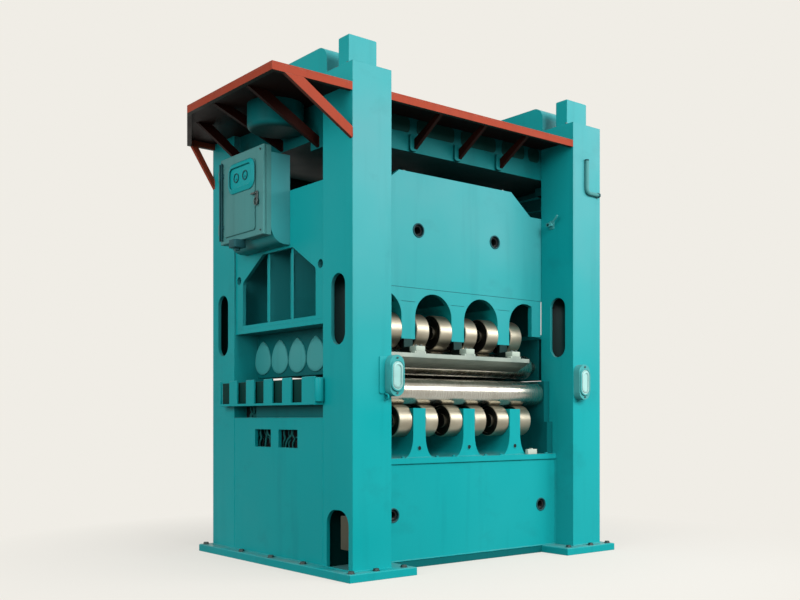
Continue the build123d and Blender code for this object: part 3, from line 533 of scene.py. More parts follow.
def round_edges(obj, width):
    """Round the sharp edges with an applied bevel."""
    take(obj)
    bevel = obj.modifiers.new("Edge", "BEVEL")
    bevel.width = width
    bevel.segments = 2
    bevel.limit_method = "ANGLE"
    bevel.angle_limit = radians(40)
    bpy.ops.object.modifier_apply(modifier="Edge")
    return obj


def block(name, corner, opposite, edge=0.0):
    """A box between two corners, with rounded edges if asked."""
    corner, opposite = Vector(corner), Vector(opposite)
    clear_selection()
    bpy.ops.mesh.primitive_cube_add(size=1, location=(corner + opposite) / 2)
    obj = bpy.context.object
    obj.name = name
    obj.scale = [abs(value) for value in opposite - corner]
    settle(obj)
    return round_edges(obj, edge) if edge else obj


def rounded_slab(name, corner, opposite, axis, radius, edge=0.0, segments=8):
    """A box whose edges along one axis are rounded to a large radius."""
    obj = block(name, corner, opposite)
    pick_edges(obj, Vector([index == axis for index in range(3)]))
    bpy.ops.mesh.bevel(offset=radius, segments=segments, affect="EDGES")
    leave_edit()
    return round_edges(obj, edge) if edge else obj


def rod(name, start, end, radius, sides=24, edge=0.0):
    """A round bar from start to end."""
    start, end = Vector(start), Vector(end)
    span = end - start
    clear_selection()
    bpy.ops.mesh.primitive_cylinder_add(vertices=sides, radius=radius, depth=span.length, location=(start + end) / 2)
    obj = bpy.context.object
    obj.name = name
    obj.rotation_euler = span.to_track_quat("Z", "Y").to_euler()
    settle(obj)
    return round_edges(obj, edge) if edge else obj


def collar(name, start, end, outer, inner, sides=48, edge=0.0):
    """A ring with a through hole, from start to end along its axis."""
    obj = rod(name, start, end, outer, sides)
    bore(obj, (Vector(end) - Vector(start)).normalized(), outer - inner)
    return round_edges(obj, edge) if edge else obj


def wire(name, points, radius, resolution=3, cyclic=False):
    """A round wire or pipe through points, as a mesh."""
    clear_selection()
    bpy.ops.curve.primitive_nurbs_path_add(location=(0, 0, 0))
    obj = bpy.context.object
    obj.name = name
    obj.data.splines.clear()
    spline = obj.data.splines.new("NURBS")
    spline.points.add(len(points) - 1)
    for point, spot in zip(spline.points, points):
        point.co = (*spot, 1)
    spline.order_u = 3
    spline.use_endpoint_u = not cyclic
    spline.use_cyclic_u = cyclic
    obj.data.bevel_depth = radius
    obj.data.bevel_resolution = resolution
    obj.data.use_fill_caps = True
    bpy.ops.object.convert(target="MESH")
    return bpy.context.object


def join(name, objects):
    """Join finished pieces into one mesh."""
    clear_selection()
    for obj in objects:
        obj.select_set(True)
    bpy.context.view_layer.objects.active = objects[0]
    if len(objects) > 1:
        bpy.ops.object.join()
    obj = bpy.context.object
    obj.name = name
    return obj


def spread(pattern, points, direction=(0, 0, 1)):
    """Copies of a pattern that stands on +Z at the origin, at points and along a direction."""
    copies = []
    for point in points:
        take(pattern)
        bpy.ops.object.duplicate()
        copy = bpy.context.object
        copy.rotation_euler = Vector(direction).to_track_quat("Z", "Y").to_euler()
        copy.location = point
        copies.append(settle(copy))
    take(pattern)
    bpy.ops.object.delete()
    return copies


def fit(name, objects, finish, body, angle=35):
    """Join pieces under a name, with their material, smooth shading and the body that they ride on."""
    obj = settle(join(name, objects))
    bpy.ops.object.shade_smooth_by_angle(angle=radians(angle))
    obj.data.materials.clear()
    obj.data.materials.append(finish_of(finish))
    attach(obj, body)
    return obj


def hex_bolt(across):
    """A hexagon bolt head with its washer, standing on +Z at the origin."""
    washer = collar("washer", (0, 0, 0), (0, 0, across * 0.08), across * 0.62, across * 0.25, 20)
    head = rod("head", (0, 0, across * 0.08), (0, 0, across * 0.38), across / 2, 6)
    inset_faces(head, (0, 0, 1), (across * 0.07, across * 0.04))
    return join("bolt", [washer, head])


def socket_screw(across):
    """A round socket-head screw with its hexagon recess, standing on +Z at the origin."""
    head = rod("screw", (0, 0, 0), (0, 0, across * 0.5), across / 2, 18)
    return inset_faces(head, (0, 0, 1), (across * 0.06, across * 0.04), (across * 0.14, 0), (0.0001, -across * 0.25))


def weld_run(start, end, share=1.0):
    """A fillet weld bead with an uneven surface, with a share of the usual radius."""
    start, end, radius = Vector(start), Vector(end), fittings().weld * share
    cuts = max(2, min(60, int((end - start).length / 0.05)))
    bead = rod("weld", start, end, radius, 6)
    pick_edges(bead, (end - start).normalized())
    bpy.ops.mesh.subdivide(number_cuts=cuts)
    bpy.ops.mesh.select_all(action="SELECT")
    bpy.ops.transform.vertex_random(offset=radius * 0.18, uniform=1.0, seed=5)
    leave_edit()
    return bead


def fit_welds(name, runs, finish, body):
    """Weld beads along runs of (start, end[, share])."""
    fit(name, [weld_run(*run) for run in runs], finish, body)


# Operators, one for each piece or group of like pieces

class LEVELER_OT_finishes(bpy.types.Operator):
    """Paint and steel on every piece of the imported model"""
    bl_idname = "leveler.finishes"
    bl_label = "Finishes"

    def execute(self, context):
        build_materials()
        chosen = {node: key for key, nodes in NODE_FINISHES.items() for node in nodes}
        for name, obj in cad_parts.items():
            key = "roll" if "work_roll" in name else chosen.get(name, "enamel")
            obj.data.materials.clear()
            obj.data.materials.append(finish_of(key))
        return {"FINISHED"}


class LEVELER_OT_ports(bpy.types.Operator):
    """Stepped rings in the round ports of the press beam and the bed, with dark discs of painted shade at the back"""
    bl_idname = "leveler.ports"
    bl_label = "Port rings"

    def execute(self, context):
        proud, depth, edge = fittings().ring, 0.12, 0.0025
        for name, node, body, ports, radius in (
            ("beam_port", "beam_face_plates", "press_beam", BEAM_PORTS, 0.075),
            ("bed_port", "bed_face_plates", "frame", BED_PORTS, 0.073),
        ):
            rings, sleeves = [], []
            for side, face in ((-1, low(node).y), (1, high(node).y)):
                for x, z in ports:
                    back = face - side * depth
                    rings.append(collar("outer", (x, face - side * 0.02, z), (x, face + side * proud, z),
                                        radius + 0.004, radius - 0.010, 56, edge))
                    sleeves.append(collar("inner", (x, back, z), (x, face - side * 0.016, z), radius - 0.004,
                                          radius - 0.034, 56, edge))
                    # Painted shade: a dark disc closes the back of each sleeve
                    sleeves.append(rod("shade disc", (x, back, z), (x, back + side * 0.02, z), radius - 0.030, 40))
            fit(f"{name}_rings", rings, "dark", body)
            fit(f"{name}_sleeves", sleeves, "rubber", body)
        return {"FINISHED"}


class LEVELER_OT_beam_trim(bpy.types.Operator):
    """Weld seams, lifting studs and pillar seams of the press beam"""
    bl_idname = "leveler.beam_trim"
    bl_label = "Press beam trim"

    def execute(self, context):
        foot, face, top = low("beam_face_plates").z, high("beam_face_plates").y, high("beam_face_plates").z
        end, top_y = high("beam_end_plates").x - 0.04, face - 0.05
        ear_x, ear_top, top_half = 1.378, 3.94, 0.83
        rib_y, rib_half, window_bottom, rib_top = 0.235, 0.024, 2.62, 3.30
        ledge_x, ledge_half, ledge_z = 1.79, 0.70, 2.562
        runs = []
        for side in SIDES:
            runs += [((side * ear_x, side * face, foot), (side * ear_x, side * face, ear_top), 0.7),
                     ((-top_half, side * top_y, top), (top_half, side * top_y, top))]
            runs += [((side * end, y, window_bottom), (side * end, y, rib_top), 0.7)
                     for rib in (-rib_y, rib_y) for y in (rib - rib_half, rib + rib_half)]
            runs.append(((side * ledge_x, -ledge_half, ledge_z), (side * ledge_x, ledge_half, ledge_z), 0.7))
        fit_welds("beam_weld_seams", runs, "enamel", "press_beam")
        studs = spread(hex_bolt(fittings().bolt), [(x, side * top_y, top) for x in (-0.74, 0.74) for side in SIDES])
        fit("beam_top_bolts", studs, "bolt", "press_beam")
        seam_z, seam_half, foot_half, line, proud = 2.811, 0.095, 1.33, 0.002, 0.0012
        pillar = high("upper_pillars").y
        seams = [block("seam", (x - seam_half, side * pillar, seam_z - line),
                       (x + seam_half, side * (pillar + proud), seam_z + line)) for x in PILLAR_XS for side in SIDES]
        seams += [block("seam", (-foot_half, side * face, foot - line),
                        (foot_half, side * (face + proud), foot + line)) for side in SIDES]
        fit("pillar_seams", seams, "dark", "press_beam")
        return {"FINISHED"}


class LEVELER_OT_cabinet_fittings(bpy.types.Operator):
    """Panel, meter window, latch, hinge bars and cable gland of the electrical cabinet"""
    bl_idname = "leveler.cabinet_fittings"
    bl_label = "Cabinet fittings"

    def execute(self, context):
        face, front, bottom = low("cabinet_door")
        rear, top = high("cabinet_door").y - 0.06, high("cabinet_door").z
        width, height, back = rear - front, top - bottom, high("cabinet_body").x
        panel = rounded_slab("panel", (face - 0.007, front + 0.17 * width, bottom + 0.07 * height),
                             (face + 0.002, rear - 0.11 * width, top - 0.13 * height), 0, 0.03, 0.0025)
        fit("panel", [panel], "cabinet", "door")
        window_front, window_rear = front + 0.20 * width, front + 0.74 * width
        window_bottom, window_top = bottom + 0.58 * height, top - 0.15 * height
        window = rounded_slab("window", (face - 0.020, window_front, window_bottom),
                              (face - 0.006, window_rear, window_top), 0, 0.07, 0.004, 10)
        inset_faces(window, (-1, 0, 0), (0.018, 0), (0.002, -0.008))
        fit("window", [window], "enamel", "door")
        meters, middle = [], (window_bottom + window_top) / 2
        for part in (0.32, 0.70):
            y = window_front + part * (window_rear - window_front)
            meters.append(collar("meter", (face - 0.0135, y, middle), (face - 0.021, y, middle), 0.052, 0.040, 40,
                                 0.002))
            meters.append(rod("needle hub", (face - 0.012, y, middle - 0.012), (face - 0.019, y, middle - 0.012),
                              0.007, 16, 0.001))
        fit("cabinet_meters", meters, "dark", "door")
        y, z = front + 0.12 * width, bottom + 0.42 * height
        ring = [(face - 0.020, y + 0.034 * cos(a), z - 0.040 + 0.040 * sin(a))
                for a in [index * pi / 6 for index in range(12)]]
        fit("cabinet_latch", [
            rounded_slab("plate", (face - 0.014, y - 0.022, z - 0.07), (face - 0.001, y + 0.022, z + 0.07), 0, 0.018,
                         0.002),
            rod("spindle", (face - 0.004, y, z + 0.045), (face - 0.034, y, z + 0.045), 0.011, 20, 0.002),
            rounded_slab("key", (face - 0.034, y - 0.008, z + 0.036), (face - 0.024, y + 0.085, z + 0.054), 0, 0.008,
                         0.002),
            wire("ring", ring, 0.0055, cyclic=True),
        ], "bolt", "door")
        straps = [rounded_slab("strap", (face - 0.005, rear - 0.10 * width, z - 0.022),
                               (face + 0.004, rear + 0.020, z + 0.022), 0, 0.008, 0.002)
                  for z in (bottom + height / 2 - 0.28, bottom + height / 2 + 0.28)]
        straps += [rod("hinge bar", (face - 0.010, y, bottom + 0.04), (face - 0.010, y, top - 0.05), 0.010, 16, 0.002)
                   for y in (rear - 0.055, rear - 0.012)]
        fit("hinge_straps", straps, "dark", "door")
        x, y = back - 0.12, front + 0.55 * width
        fit("cabinet_gland", [
            rounded_slab("gland block", (x - 0.07, y - 0.07, bottom - 0.085), (x + 0.07, y + 0.07, bottom), 2, 0.02,
                         0.004),
            rod("gland nut", (x, y, bottom - 0.082), (x, y, bottom - 0.112), 0.030, 6, 0.003),
        ], "dark", "press_beam")
        spots = [(face + 0.0005, y, z) for y in (front + 0.05 * width, rear - 0.04 * width)
                 for z in (bottom + 0.05 * height, bottom + 0.95 * height)]
        fit("cabinet_screws", spread(socket_screw(0.018), spots, (-1, 0, 0)), "bolt", "door")
        return {"FINISHED"}


class LEVELER_OT_gauge_details(bpy.types.Operator):
    """Rims, inner dials and mounting screws of the column gauges"""
    bl_idname = "leveler.gauge_details"
    bl_label = "Gauge details"

    def execute(self, context):
        front, back, middle = low("gauge_faces").y, low("gauge_brackets").y, 1.980
        rims, dials, screws = [], [], []
        for x in (-1.342, 1.444):
            rim = rounded_slab("rim", (x - 0.082, front - 0.005, middle - 0.155),
                               (x + 0.082, back + 0.004, middle + 0.155), 1, 0.075, 0.0, 12)
            bore(rim, (0, 1, 0), 0.016)
            rims.append(round_edges(rim, 0.003))
            dial = rounded_slab("dial", (x - 0.045, front - 0.004, middle - 0.115),
                                (x + 0.045, front + 0.003, middle + 0.115), 1, 0.042, 0.0015, 10)
            dials.append(inset_faces(dial, (0, -1, 0), (0.010, 0), (0.001, -0.003)))
            screws += [(x, back, middle + rise) for rise in (-0.174, 0.174)]
        fit("gauge_rims", rims, "cast", "frame")
        fit("gauge_dials", dials, "face", "frame")
        fit("gauge_screws", spread(socket_screw(0.020), screws, (0, -1, 0)), "bolt", "frame")
        return {"FINISHED"}


class LEVELER_OT_frame_bolts(bpy.types.Operator):
    """Hexagon bolts on the sole plates and the bed"""
    bl_idname = "leveler.frame_bolts"
    bl_label = "Frame bolts"

    def execute(self, context):
        size, sole, flange = fittings().bolt, high("sole_plates"), high("bed_top_plate")
        spots = []
        for side in SIDES:
            spots += [(side * (sole.x - 0.06), y, sole.z) for y in (-1.45, -0.62, 0.0, 0.62, 1.45)]
            spots += [(side * x, end * y, sole.z) for end in SIDES for x, y in ((1.22, 1.43), (1.58, 1.45))]
        fit("anchor_bolts", spread(hex_bolt(size * 1.3), spots), "bolt", "frame")
        spots = [(x, side * (flange.y - 0.05), flange.z)
                 for x in (-1.22, -0.95, -0.48, -0.24, 0.24, 0.48, 0.95, 1.22) for side in SIDES]
        fit("bed_bolts", spread(hex_bolt(size * 0.8), spots), "enamel", "frame")
        return {"FINISHED"}


class LEVELER_OT_roll_covers(bpy.types.Operator):
    """Crowned covers over the upper roll ends, with a pointed top and a rolled rim"""
    bl_idname = "leveler.roll_covers"
    bl_label = "Roll covers"

    def execute(self, context):
        outer, top, bottom = high("upper_roll_caps").x, high("upper_roll_caps").z, low("upper_roll_caps").z
        pitch, count, gap, belly_z, steps = 0.357, 5, 0.022, 2.190, 10
        half = (pitch - gap) / 2
        radius = (half ** 2 + (top - belly_z) ** 2) / (2 * half)
        sweep = asin((top - belly_z) / radius)
        flank = [(half - radius * (1 - cos(sweep * step / steps)), belly_z + radius * sin(sweep * step / steps))
                 for step in range(steps)]
        bowl = [(half * cos(angle), belly_z + (belly_z - bottom) * sin(angle))
                for angle in [pi + pi * step / (2 * steps) for step in range(1, 2 * steps)]]
        outline = [(0.0, top)] + [(-y, z) for y, z in reversed(flank)] + bowl + flank
        covers = []
        for side in SIDES:
            for index in range(count):
                centre = (index - (count - 1) / 2) * pitch
                clear_selection()
                bpy.ops.mesh.primitive_circle_add(vertices=len(outline), fill_type="NGON")
                cover = context.object
                for vertex, (y, z) in zip(cover.data.vertices, outline):
                    vertex.co = (side * (outer - 0.020), centre + y, z)
                pick_faces(cover, (1, 0, 0), both=True)
                bpy.ops.mesh.extrude_region_move(TRANSFORM_OT_translate={"value": (side * 0.010, 0, 0)})
                for inset, step in ((0.006, 0.004), (0.030, 0.005)):
                    bpy.ops.mesh.inset(thickness=inset)
                    bpy.ops.transform.translate(value=(side * step, 0, 0))
                leave_edit_closed()
                covers.append(cover)
        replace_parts(fit("roll_covers", covers, "cast", "press_beam", 60), "upper_roll_caps")
        return {"FINISHED"}


class LEVELER_OT_frame_welds(bpy.types.Operator):
    """Weld beads where the columns, plates, stands and struts meet"""
    bl_idname = "leveler.frame_welds"
    bl_label = "Frame welds"

    def execute(self, context):
        outer, inner, back, foot = -low("column_front_left").x, COLUMN_INNER, COLUMN_BACK, SOLE_SEAM_Z
        front, bed_y, stand_y, stand_half, stand_z = 1.39, 1.112, 1.071, 0.195, 1.148
        runs = []
        for sx in SIDES:
            for sy in SIDES:
                bed_end = sx * (inner - 0.002), sy * (bed_y - 0.001)
                side_end = sx * (outer - 0.002), sy * (back - 0.002)
                runs += [((sx * inner, sy * front, foot), (sx * outer, sy * front, foot)),
                         ((sx * outer, sy * back, foot), (sx * outer, sy * front, foot)),
                         ((*bed_end, 0.09), (*bed_end, 1.08)), ((*side_end, 0.09), (*side_end, 1.555), 0.8)]
            for x, z, share in ((sx * (outer + 0.002), foot, 1.0), (sx * (outer - 0.006), 1.562, 0.8)):
                runs.append(((x, -back, z), (x, back, z), share))
        for sy in SIDES:
            runs += [((-inner, sy * bed_y, z), (inner, sy * bed_y, z), share)
                     for z, share in ((foot, 1.0), (1.084, 0.8))]
            runs += [((x - stand_half, sy * stand_y, stand_z), (x + stand_half, sy * stand_y, stand_z), 0.8)
                     for x in PILLAR_XS]
        fit_welds("frame_weld_seams", runs, "enamel", "frame")
        feet = ((-1.822, -1.37, 4.250), (-1.742, -0.685, 4.320), (-1.742, 0.0, 4.420), (-1.742, 0.685, 4.320),
                (-1.822, 1.37, 4.250))
        struts = [((x, y - 0.020, z + 0.01), (x, y - 0.020, z + 0.10), 0.7) for x, y, z in feet]
        fit_welds("strut_weld_seams", struts, "red", "frame")
        return {"FINISHED"}


class LEVELER_OT_cables(bpy.types.Operator):
    """Cables that hang inside the bed's cable windows, on trays with dark sheets of painted shade behind them"""
    bl_idname = "leveler.cables"
    bl_label = "Cables in the bed"

    def execute(self, context):
        bays = ((-0.240, 0.185, 1.245, 1.445), (0.265, 0.165, 1.245, 1.445), (0.560, 0.070, 1.565, 1.690))
        for side, name in ((-1, "left"), (1, "right")):
            thick, thin = [], []
            for middle, half, foot, top in bays:
                for number in range(9):
                    lean = sin(number * 2.1 + middle * 9) * 0.8
                    start = middle + half * (number / 4.4 - 0.9)
                    end = max(middle - half * 1.05, min(middle + half * 1.05, start + lean * half))
                    bulge, drop = 0.030 * cos(number * 1.7), top - foot
                    x = side * (1.752 - 0.011 * (number % 4))
                    line = wire("cable", [
                        (x, start, top + 0.03), (x, start + bulge, top - 0.30 * drop),
                        (x - side * 0.012, (start + end) / 2 - bulge, (foot + top) / 2),
                        (x, end + bulge, foot + 0.25 * drop), (x, end, foot - 0.03)],
                        0.0055 + 0.0035 * (number % 3), 2)
                    (thick if number % 3 else thin).append(line)
            fit(f"bed_cables_{name}", thick, "cable", "frame")
            fit(f"bed_hoses_{name}", thin, "rubber", "frame")
            inner, back, outer, half = side * 1.655, side * 1.662, side * 1.775, 0.48
            trays = [block("tray", (side * 1.66, -half, z), (outer, half, z + 0.012), 0.003) for z in (1.466, 1.205)]
            # Painted shade: thin dark sheets behind the cables and at the back of the upper recess
            trays += [block("back", (inner, -half, 1.205), (back, half, 1.478)),
                      block("recess shade sheet", (inner, 0.475, 1.50), (back, 0.885, 1.69))]
            fit(f"cable_tray_and_shade_{name}", trays, "rubber", "frame")
        return {"FINISHED"}


class LEVELER_OT_column_fittings(bpy.types.Operator):
    """Lever, pipe ends, gauge plate, a dark box of painted shade and small blocks on the columns and the bed"""
    bl_idname = "leveler.column_fittings"
    bl_label = "Column fittings"

    def execute(self, context):
        front, inner = low("column_front_left").y, COLUMN_INNER
        fit("column_lever", [
            rounded_slab("plate", (inner - 0.012, -1.10, 3.80), (inner + 0.001, -1.03, 3.90), 0, 0.012, 0.002),
            rod("pin", (inner - 0.075, -1.065, 3.845), (inner, -1.065, 3.845), 0.020, 24, 0.004),
            rounded_slab("grip", (inner - 0.075, -1.120, 3.822), (inner - 0.045, -1.030, 3.868), 0, 0.016, 0.004),
            wire("lever", [(inner - 0.060, -1.10, 3.850), (inner - 0.064, -1.14, 3.880),
                           (inner - 0.068, -1.18, 3.905), (inner - 0.070, -1.21, 3.935)], 0.012),
        ], "cast", "frame")
        pipe_y = front - 0.0225
        fit("pipe_ends", [
            rod("pipe nut", (1.752, pipe_y, 4.20), (1.778, pipe_y, 4.20), 0.032, 6, 0.003),
            rod("pipe cap", (1.56, pipe_y, 4.575), (1.56, pipe_y, 4.594), 0.025, 24, 0.004),
        ], "dark", "frame")
        eye_x = -1.424
        fit("gauge_back_plate", [
            rounded_slab("eye plate", (-1.500, front - 0.012, 1.80), (-1.39, front, 2.17), 1, 0.02, 0.003),
            rod("eye bolt", (-1.386, front - 0.030, 2.107), (-1.386, front, 2.107), 0.016, 20, 0.003),
            wire("eye", [(eye_x, front - 0.008, 1.80), (eye_x, front - 0.045, 1.795), (eye_x, front - 0.06, 1.77),
                         (eye_x, front - 0.045, 1.745), (eye_x, front - 0.02, 1.745)], 0.009),
        ], "enamel", "frame")
        fit("bed_block", [
            block("bed block", (0.87, -1.128, 1.145), (1.02, -1.080, 1.205), 0.006),
            block("bed block step", (0.93, -1.126, 1.145), (0.95, -1.084, 1.215), 0.003),
        ], "pale", "frame")
        bar_x, bar_start, bar_end, joint_y = 1.799, -0.88, 0.30, -0.520
        fit("crown_end_fittings", [
            rod("cross bar", (bar_x, bar_start, 4.150), (bar_x, bar_end, 4.215), 0.012, 16),
            rod("upper bar", (bar_x, bar_start, 4.345), (bar_x, bar_end, 4.345), 0.016, 16),
            rod("junction", (1.776, joint_y, 4.200), (1.806, joint_y, 4.200), 0.045, 32, 0.006),
            rounded_slab("gap block", (1.770, bar_start, 4.065), (1.806, -0.560, 4.140), 0, 0.02, 0.004),
        ], "enamel", "frame")
        # Painted shade: a dark box that fills the gap at the rear of the top between the columns
        box = rounded_slab("rear_shade_box", (-inner, 1.02, 4.250), (-0.30, 1.10, 4.470), 1, 0.02, 0.004)
        fit("rear_shade_box", [box], "rubber", "frame")
        fillers = [block("filler", (sx * 1.775, -1.345, 0.27), (sx * 1.68, -1.13, 0.60), 0.004) for sx in SIDES]
        fit("foot_fillers", fillers, "filler", "frame")
        return {"FINISHED"}


class LEVELER_OT_crown_trim(bpy.types.Operator):
    """Dark slabs of painted shade between the gussets and rounded feet on the gussets"""
    bl_idname = "leveler.crown_trim"
    bl_label = "Crown trim"

    def execute(self, context):
        crown = high("crown_beam").y
        shade_slabs, feet = [], []
        for side in SIDES:
            back, face = side * (crown - 0.01), side * crown
            # Painted shade: dark slabs on the crown's face between the gussets
            shade_slabs += [rounded_slab("recess", (start, back, 4.610), (end, face + side * 0.004, 4.772), 1, 0.045)
                         for start, end in ((-1.33, -0.70), (-0.60, -0.06), (0.04, 0.58), (0.68, 1.05), (1.12, 1.30))]
            feet += [rounded_slab("gusset foot", (x - 0.075, back, 4.415), (x + 0.018, face + side * 0.030, 4.600),
                                  1, 0.030, 0.004) for x in (-0.64, 0.0, 0.64)]
        fit("crown_shade_slabs", shade_slabs, "deep", "frame")
        fit("gusset_feet", feet, "shadowed", "frame")
        return {"FINISHED"}


class LEVELER_OT_guard_trim(bpy.types.Operator):
    """Rolled edges, rounded nose and dark sheets of painted shade behind the windows of the roll end guards"""
    bl_idname = "leveler.guard_trim"
    bl_label = "Guard trim"

    def execute(self, context):
        outer, top = high("roll_end_guards").x, high("roll_end_guards").z
        window, pitch, first, foot, rear, nose_y = 0.200, 0.370, -0.555, 1.720, 1.06, -0.884
        posts = [(-0.89, first - window / 2)]
        posts += [(first + index * pitch + window / 2, first + (index + 1) * pitch - window / 2)
                  for index in range(4)]
        posts.append((first + 4 * pitch + window / 2, rear))
        for side, name in ((-1, "left"), (1, "right")):
            edge_x, nose_x = side * (outer - 0.010), side * (outer - 0.052)
            beads = [rod("post bead", (edge_x, start, top - 0.002), (edge_x, end, top - 0.002), 0.011, 14, 0.003)
                     for start, end in posts]
            nose = rod("nose", (nose_x, nose_y, foot + 0.003), (nose_x, nose_y, top - 0.004), 0.050, 40, 0.012)
            fit(f"guard_beads_{name}", beads + [nose], "enamel", "frame", 50)
            # Painted shade: a dark sheet behind the guard's windows
            shade_sheet = block("shade_sheet", (side * 1.860, -0.82, foot + 0.001), (side * 1.880, 1.05, top - 0.012), 0.004)
            fit(f"guard_shade_sheets_{name}", [shade_sheet], "deep", "frame")
        return {"FINISHED"}


class LEVELER_OT_roll_trim(bpy.types.Operator):
    """Rims with dark discs of painted shade for the holes in the stands, and the pale blocks that clamp the guides"""
    bl_idname = "leveler.roll_trim"
    bl_label = "Roller trim"

    def execute(self, context):
        face, hole_z, arm_top = -low("lower_roller_stands").y, 1.245, 2.323
        rims, hole_shades, blocks = [], [], []
        for x in PILLAR_XS:
            for sy in SIDES:
                start = (x, sy * (face - 0.002), hole_z)
                rims.append(collar("hole rim", start, (x, sy * (face + 0.003), hole_z), 0.030, 0.022, 28, 0.001))
                # Painted shade: a dark disc inside each rim stands for the hole's dark inside
                hole_shades.append(rod("hole", start, (x, sy * (face + 0.001), hole_z), 0.0225, 28))
        fit("stand_hole_rims", rims, "enamel", "frame")
        fit("stand_hole_shades", hole_shades, "rubber", "frame")
        for x in PILLAR_XS:
            for sy in SIDES:
                blocks.append(block("foot", (x - 0.080, sy * 1.020, 2.243), (x + 0.080, sy * 1.088, 2.268), 0.006))
                blocks.append(block("head", (x - 0.064, sy * 0.980, 2.264), (x + 0.064, sy * 1.092, arm_top), 0.008))
        fit("guide_blocks", blocks, "pale", "press_beam")
        spots = [(x + dx, sy * 1.05, arm_top) for x in PILLAR_XS for dx in (-0.032, 0.032) for sy in SIDES]
        fit("guide_bolts", spread(hex_bolt(0.034), spots), "bolt", "press_beam")
        return {"FINISHED"}


class LEVELER_OT_top_trim(bpy.types.Operator):
    """Flanges and bolts of the screw caps"""
    bl_idname = "leveler.top_trim"
    bl_label = "Top trim"

    def execute(self, context):
        top = high("column_front_left").z
        flange_top = top + 0.022
        flanges, spots = [], []
        for sx, sy in CORNERS:
            x, y = sx * COLUMN_CENTRE[0], sy * COLUMN_CENTRE[1]
            flanges.append(rounded_slab("flange", (x - 0.20, y - 0.115, top), (x + 0.20, y + 0.115, flange_top), 2,
                                        0.03, 0.004))
            spots += [(x + cx * 0.182, y + cy * 0.09, flange_top) for cx, cy in CORNERS]
        fit("screw_cap_flanges", flanges, "enamel", "frame")
        fit("screw_cap_bolts", spread(hex_bolt(0.030), spots), "bolt", "frame")
        return {"FINISHED"}


def seen_directly(tree):
    """1 on camera, glossy and transmission rays, 0 on the rays that light the object."""
    rays = add_node(tree, "ShaderNodeLightPath").outputs
    seen = maths(tree, "MAXIMUM", rays["Is Camera Ray"], rays["Is Glossy Ray"])
    return maths(tree, "MAXIMUM", seen, rays["Is Transmission Ray"])


def mixed(tree, factor, first, second):
    return add_node(tree, "ShaderNodeMixShader", {0: factor, 1: first, 2: second}).outputs[0]


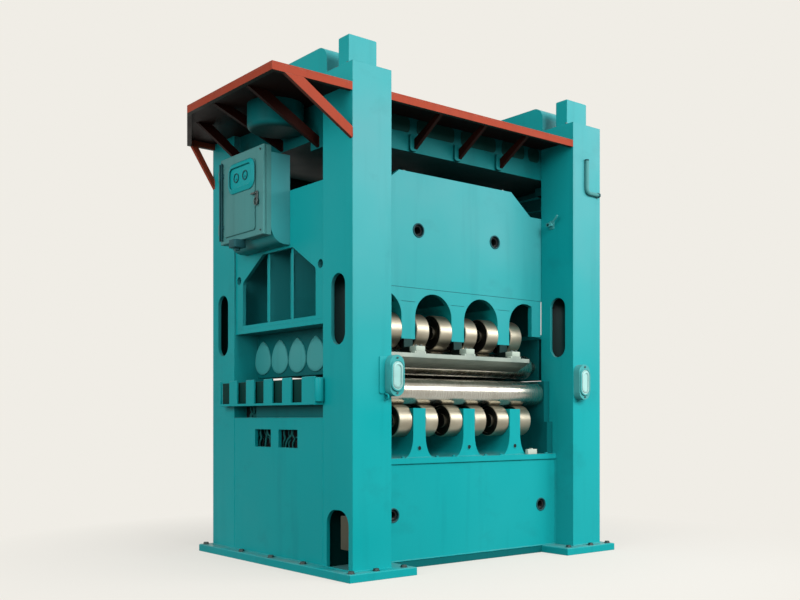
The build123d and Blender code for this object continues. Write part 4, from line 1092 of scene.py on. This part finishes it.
class LEVELER_OT_stage(bpy.types.Operator):
    """Pale floor, soft lights, even sky and the camera"""
    bl_idname = "leveler.stage"
    bl_label = "Stage"

    def execute(self, context):
        s = context.scene.leveler_stage
        backdrop = {"Color": with_alpha(s.backdrop), "Strength": 1.0}
        clear_selection()
        bpy.ops.mesh.primitive_plane_add(size=160, location=(0, 0, 0))
        floor = context.object
        floor.name = "floor"
        material, tree, shader = new_material("Pale floor")
        fill(tree, shader, {
            "Base Color": with_alpha(s.floor), "Roughness": 0.9, "Specular IOR Level": 0.1,
            "Emission Color": with_alpha(s.backdrop), "Emission Strength": s.floor_lift})
        far = add_node(tree, "ShaderNodeVectorMath", {0: object_place(tree)}, operation="LENGTH").outputs["Value"]
        plain = add_node(tree, "ShaderNodeEmission", backdrop).outputs[0]
        faded = mixed(tree, remap(tree, far, s.fade_start, s.fade_end), shader.outputs[0], plain)
        dim = add_node(tree, "ShaderNodeBsdfDiffuse", {"Color": with_alpha(s.floor_bounce)}).outputs[0]
        shown = mixed(tree, seen_directly(tree), dim, faded)
        fill(tree, tree.nodes["Material Output"], {"Surface": shown})
        floor.data.materials.append(material)
        world = bpy.data.worlds.new("Even sky")
        context.scene.world = world
        world.use_nodes = True
        tree = world.node_tree
        tree.nodes.clear()
        shown = add_node(tree, "ShaderNodeBackground", backdrop).outputs[0]
        lit = add_node(tree, "ShaderNodeBackground", {"Color": (0.90, 0.97, 1.0, 1), "Strength": s.sky}).outputs[0]
        add_node(tree, "ShaderNodeOutputWorld", {0: mixed(tree, seen_directly(tree), lit, shown)})
        for name, spot, aim, width, height, strength in (
            ("key", s.key_place, (0.0, 0.0, 2.8), 6.5, 6.5, s.key_power),
            ("window", s.window_place, (0.0, -1.0, 3.0), 10.0, 4.5, s.window_power),
            ("fill", s.fill_place, (-1.8, 0.0, 2.8), 7.0, 7.0, s.fill_power),
        ):
            clear_selection()
            bpy.ops.object.light_add(type="AREA", location=spot)
            lamp = context.object
            lamp.name = name
            lamp.rotation_euler = (Vector(aim) - Vector(spot)).to_track_quat("-Z", "Y").to_euler()
            lamp.data.shape = "RECTANGLE"
            lamp.data.size, lamp.data.size_y = width, height
            lamp.data.energy = strength
        bpy.ops.object.camera_add(location=s.camera_place, rotation=(radians(90), 0, s.camera_turn))
        camera = context.object
        camera.data.lens = s.lens
        camera.data.sensor_width = 36
        camera.data.shift_y = s.rise
        camera.data.clip_end = 200
        context.scene.camera = camera
        context.scene.view_settings.view_transform = "Standard"
        return {"FINISHED"}


class LEVELER_PT_panel(bpy.types.Panel):
    """Buttons for the leveling machine's fittings"""
    bl_idname = "LEVELER_PT_panel"
    bl_label = "Plate leveler"
    bl_space_type = "VIEW_3D"
    bl_region_type = "UI"
    bl_category = "Leveler"

    def draw(self, context):
        column = self.layout.column()
        for operator in OPERATORS:
            column.operator(operator.bl_idname)
        for settings in (context.scene.leveler_paint, context.scene.leveler_fittings, context.scene.leveler_stage):
            for key in settings.__annotations__:
                column.prop(settings, key)


OPERATORS = [
    LEVELER_OT_finishes, LEVELER_OT_ports, LEVELER_OT_beam_trim, LEVELER_OT_cabinet_fittings,
    LEVELER_OT_gauge_details, LEVELER_OT_frame_bolts, LEVELER_OT_roll_covers, LEVELER_OT_frame_welds,
    LEVELER_OT_cables, LEVELER_OT_column_fittings, LEVELER_OT_crown_trim, LEVELER_OT_guard_trim,
    LEVELER_OT_roll_trim, LEVELER_OT_top_trim, LEVELER_OT_stage,
]
CLASSES = [LEVELER_PG_paint, LEVELER_PG_fittings, LEVELER_PG_stage, *OPERATORS, LEVELER_PT_panel]


def register():
    for item in CLASSES:
        bpy.utils.register_class(item)
    bpy.types.Scene.leveler_paint = bpy.props.PointerProperty(type=LEVELER_PG_paint)
    bpy.types.Scene.leveler_fittings = bpy.props.PointerProperty(type=LEVELER_PG_fittings)
    bpy.types.Scene.leveler_stage = bpy.props.PointerProperty(type=LEVELER_PG_stage)


def unregister():
    del bpy.types.Scene.leveler_stage
    del bpy.types.Scene.leveler_fittings
    del bpy.types.Scene.leveler_paint
    for item in reversed(CLASSES):
        bpy.utils.unregister_class(item)


def main():
    register()
    clear_selection()
    for operator in OPERATORS:
        group, name = operator.bl_idname.split(".")
        getattr(getattr(bpy.ops, group), name)()


if __name__ == "__main__":
    main()
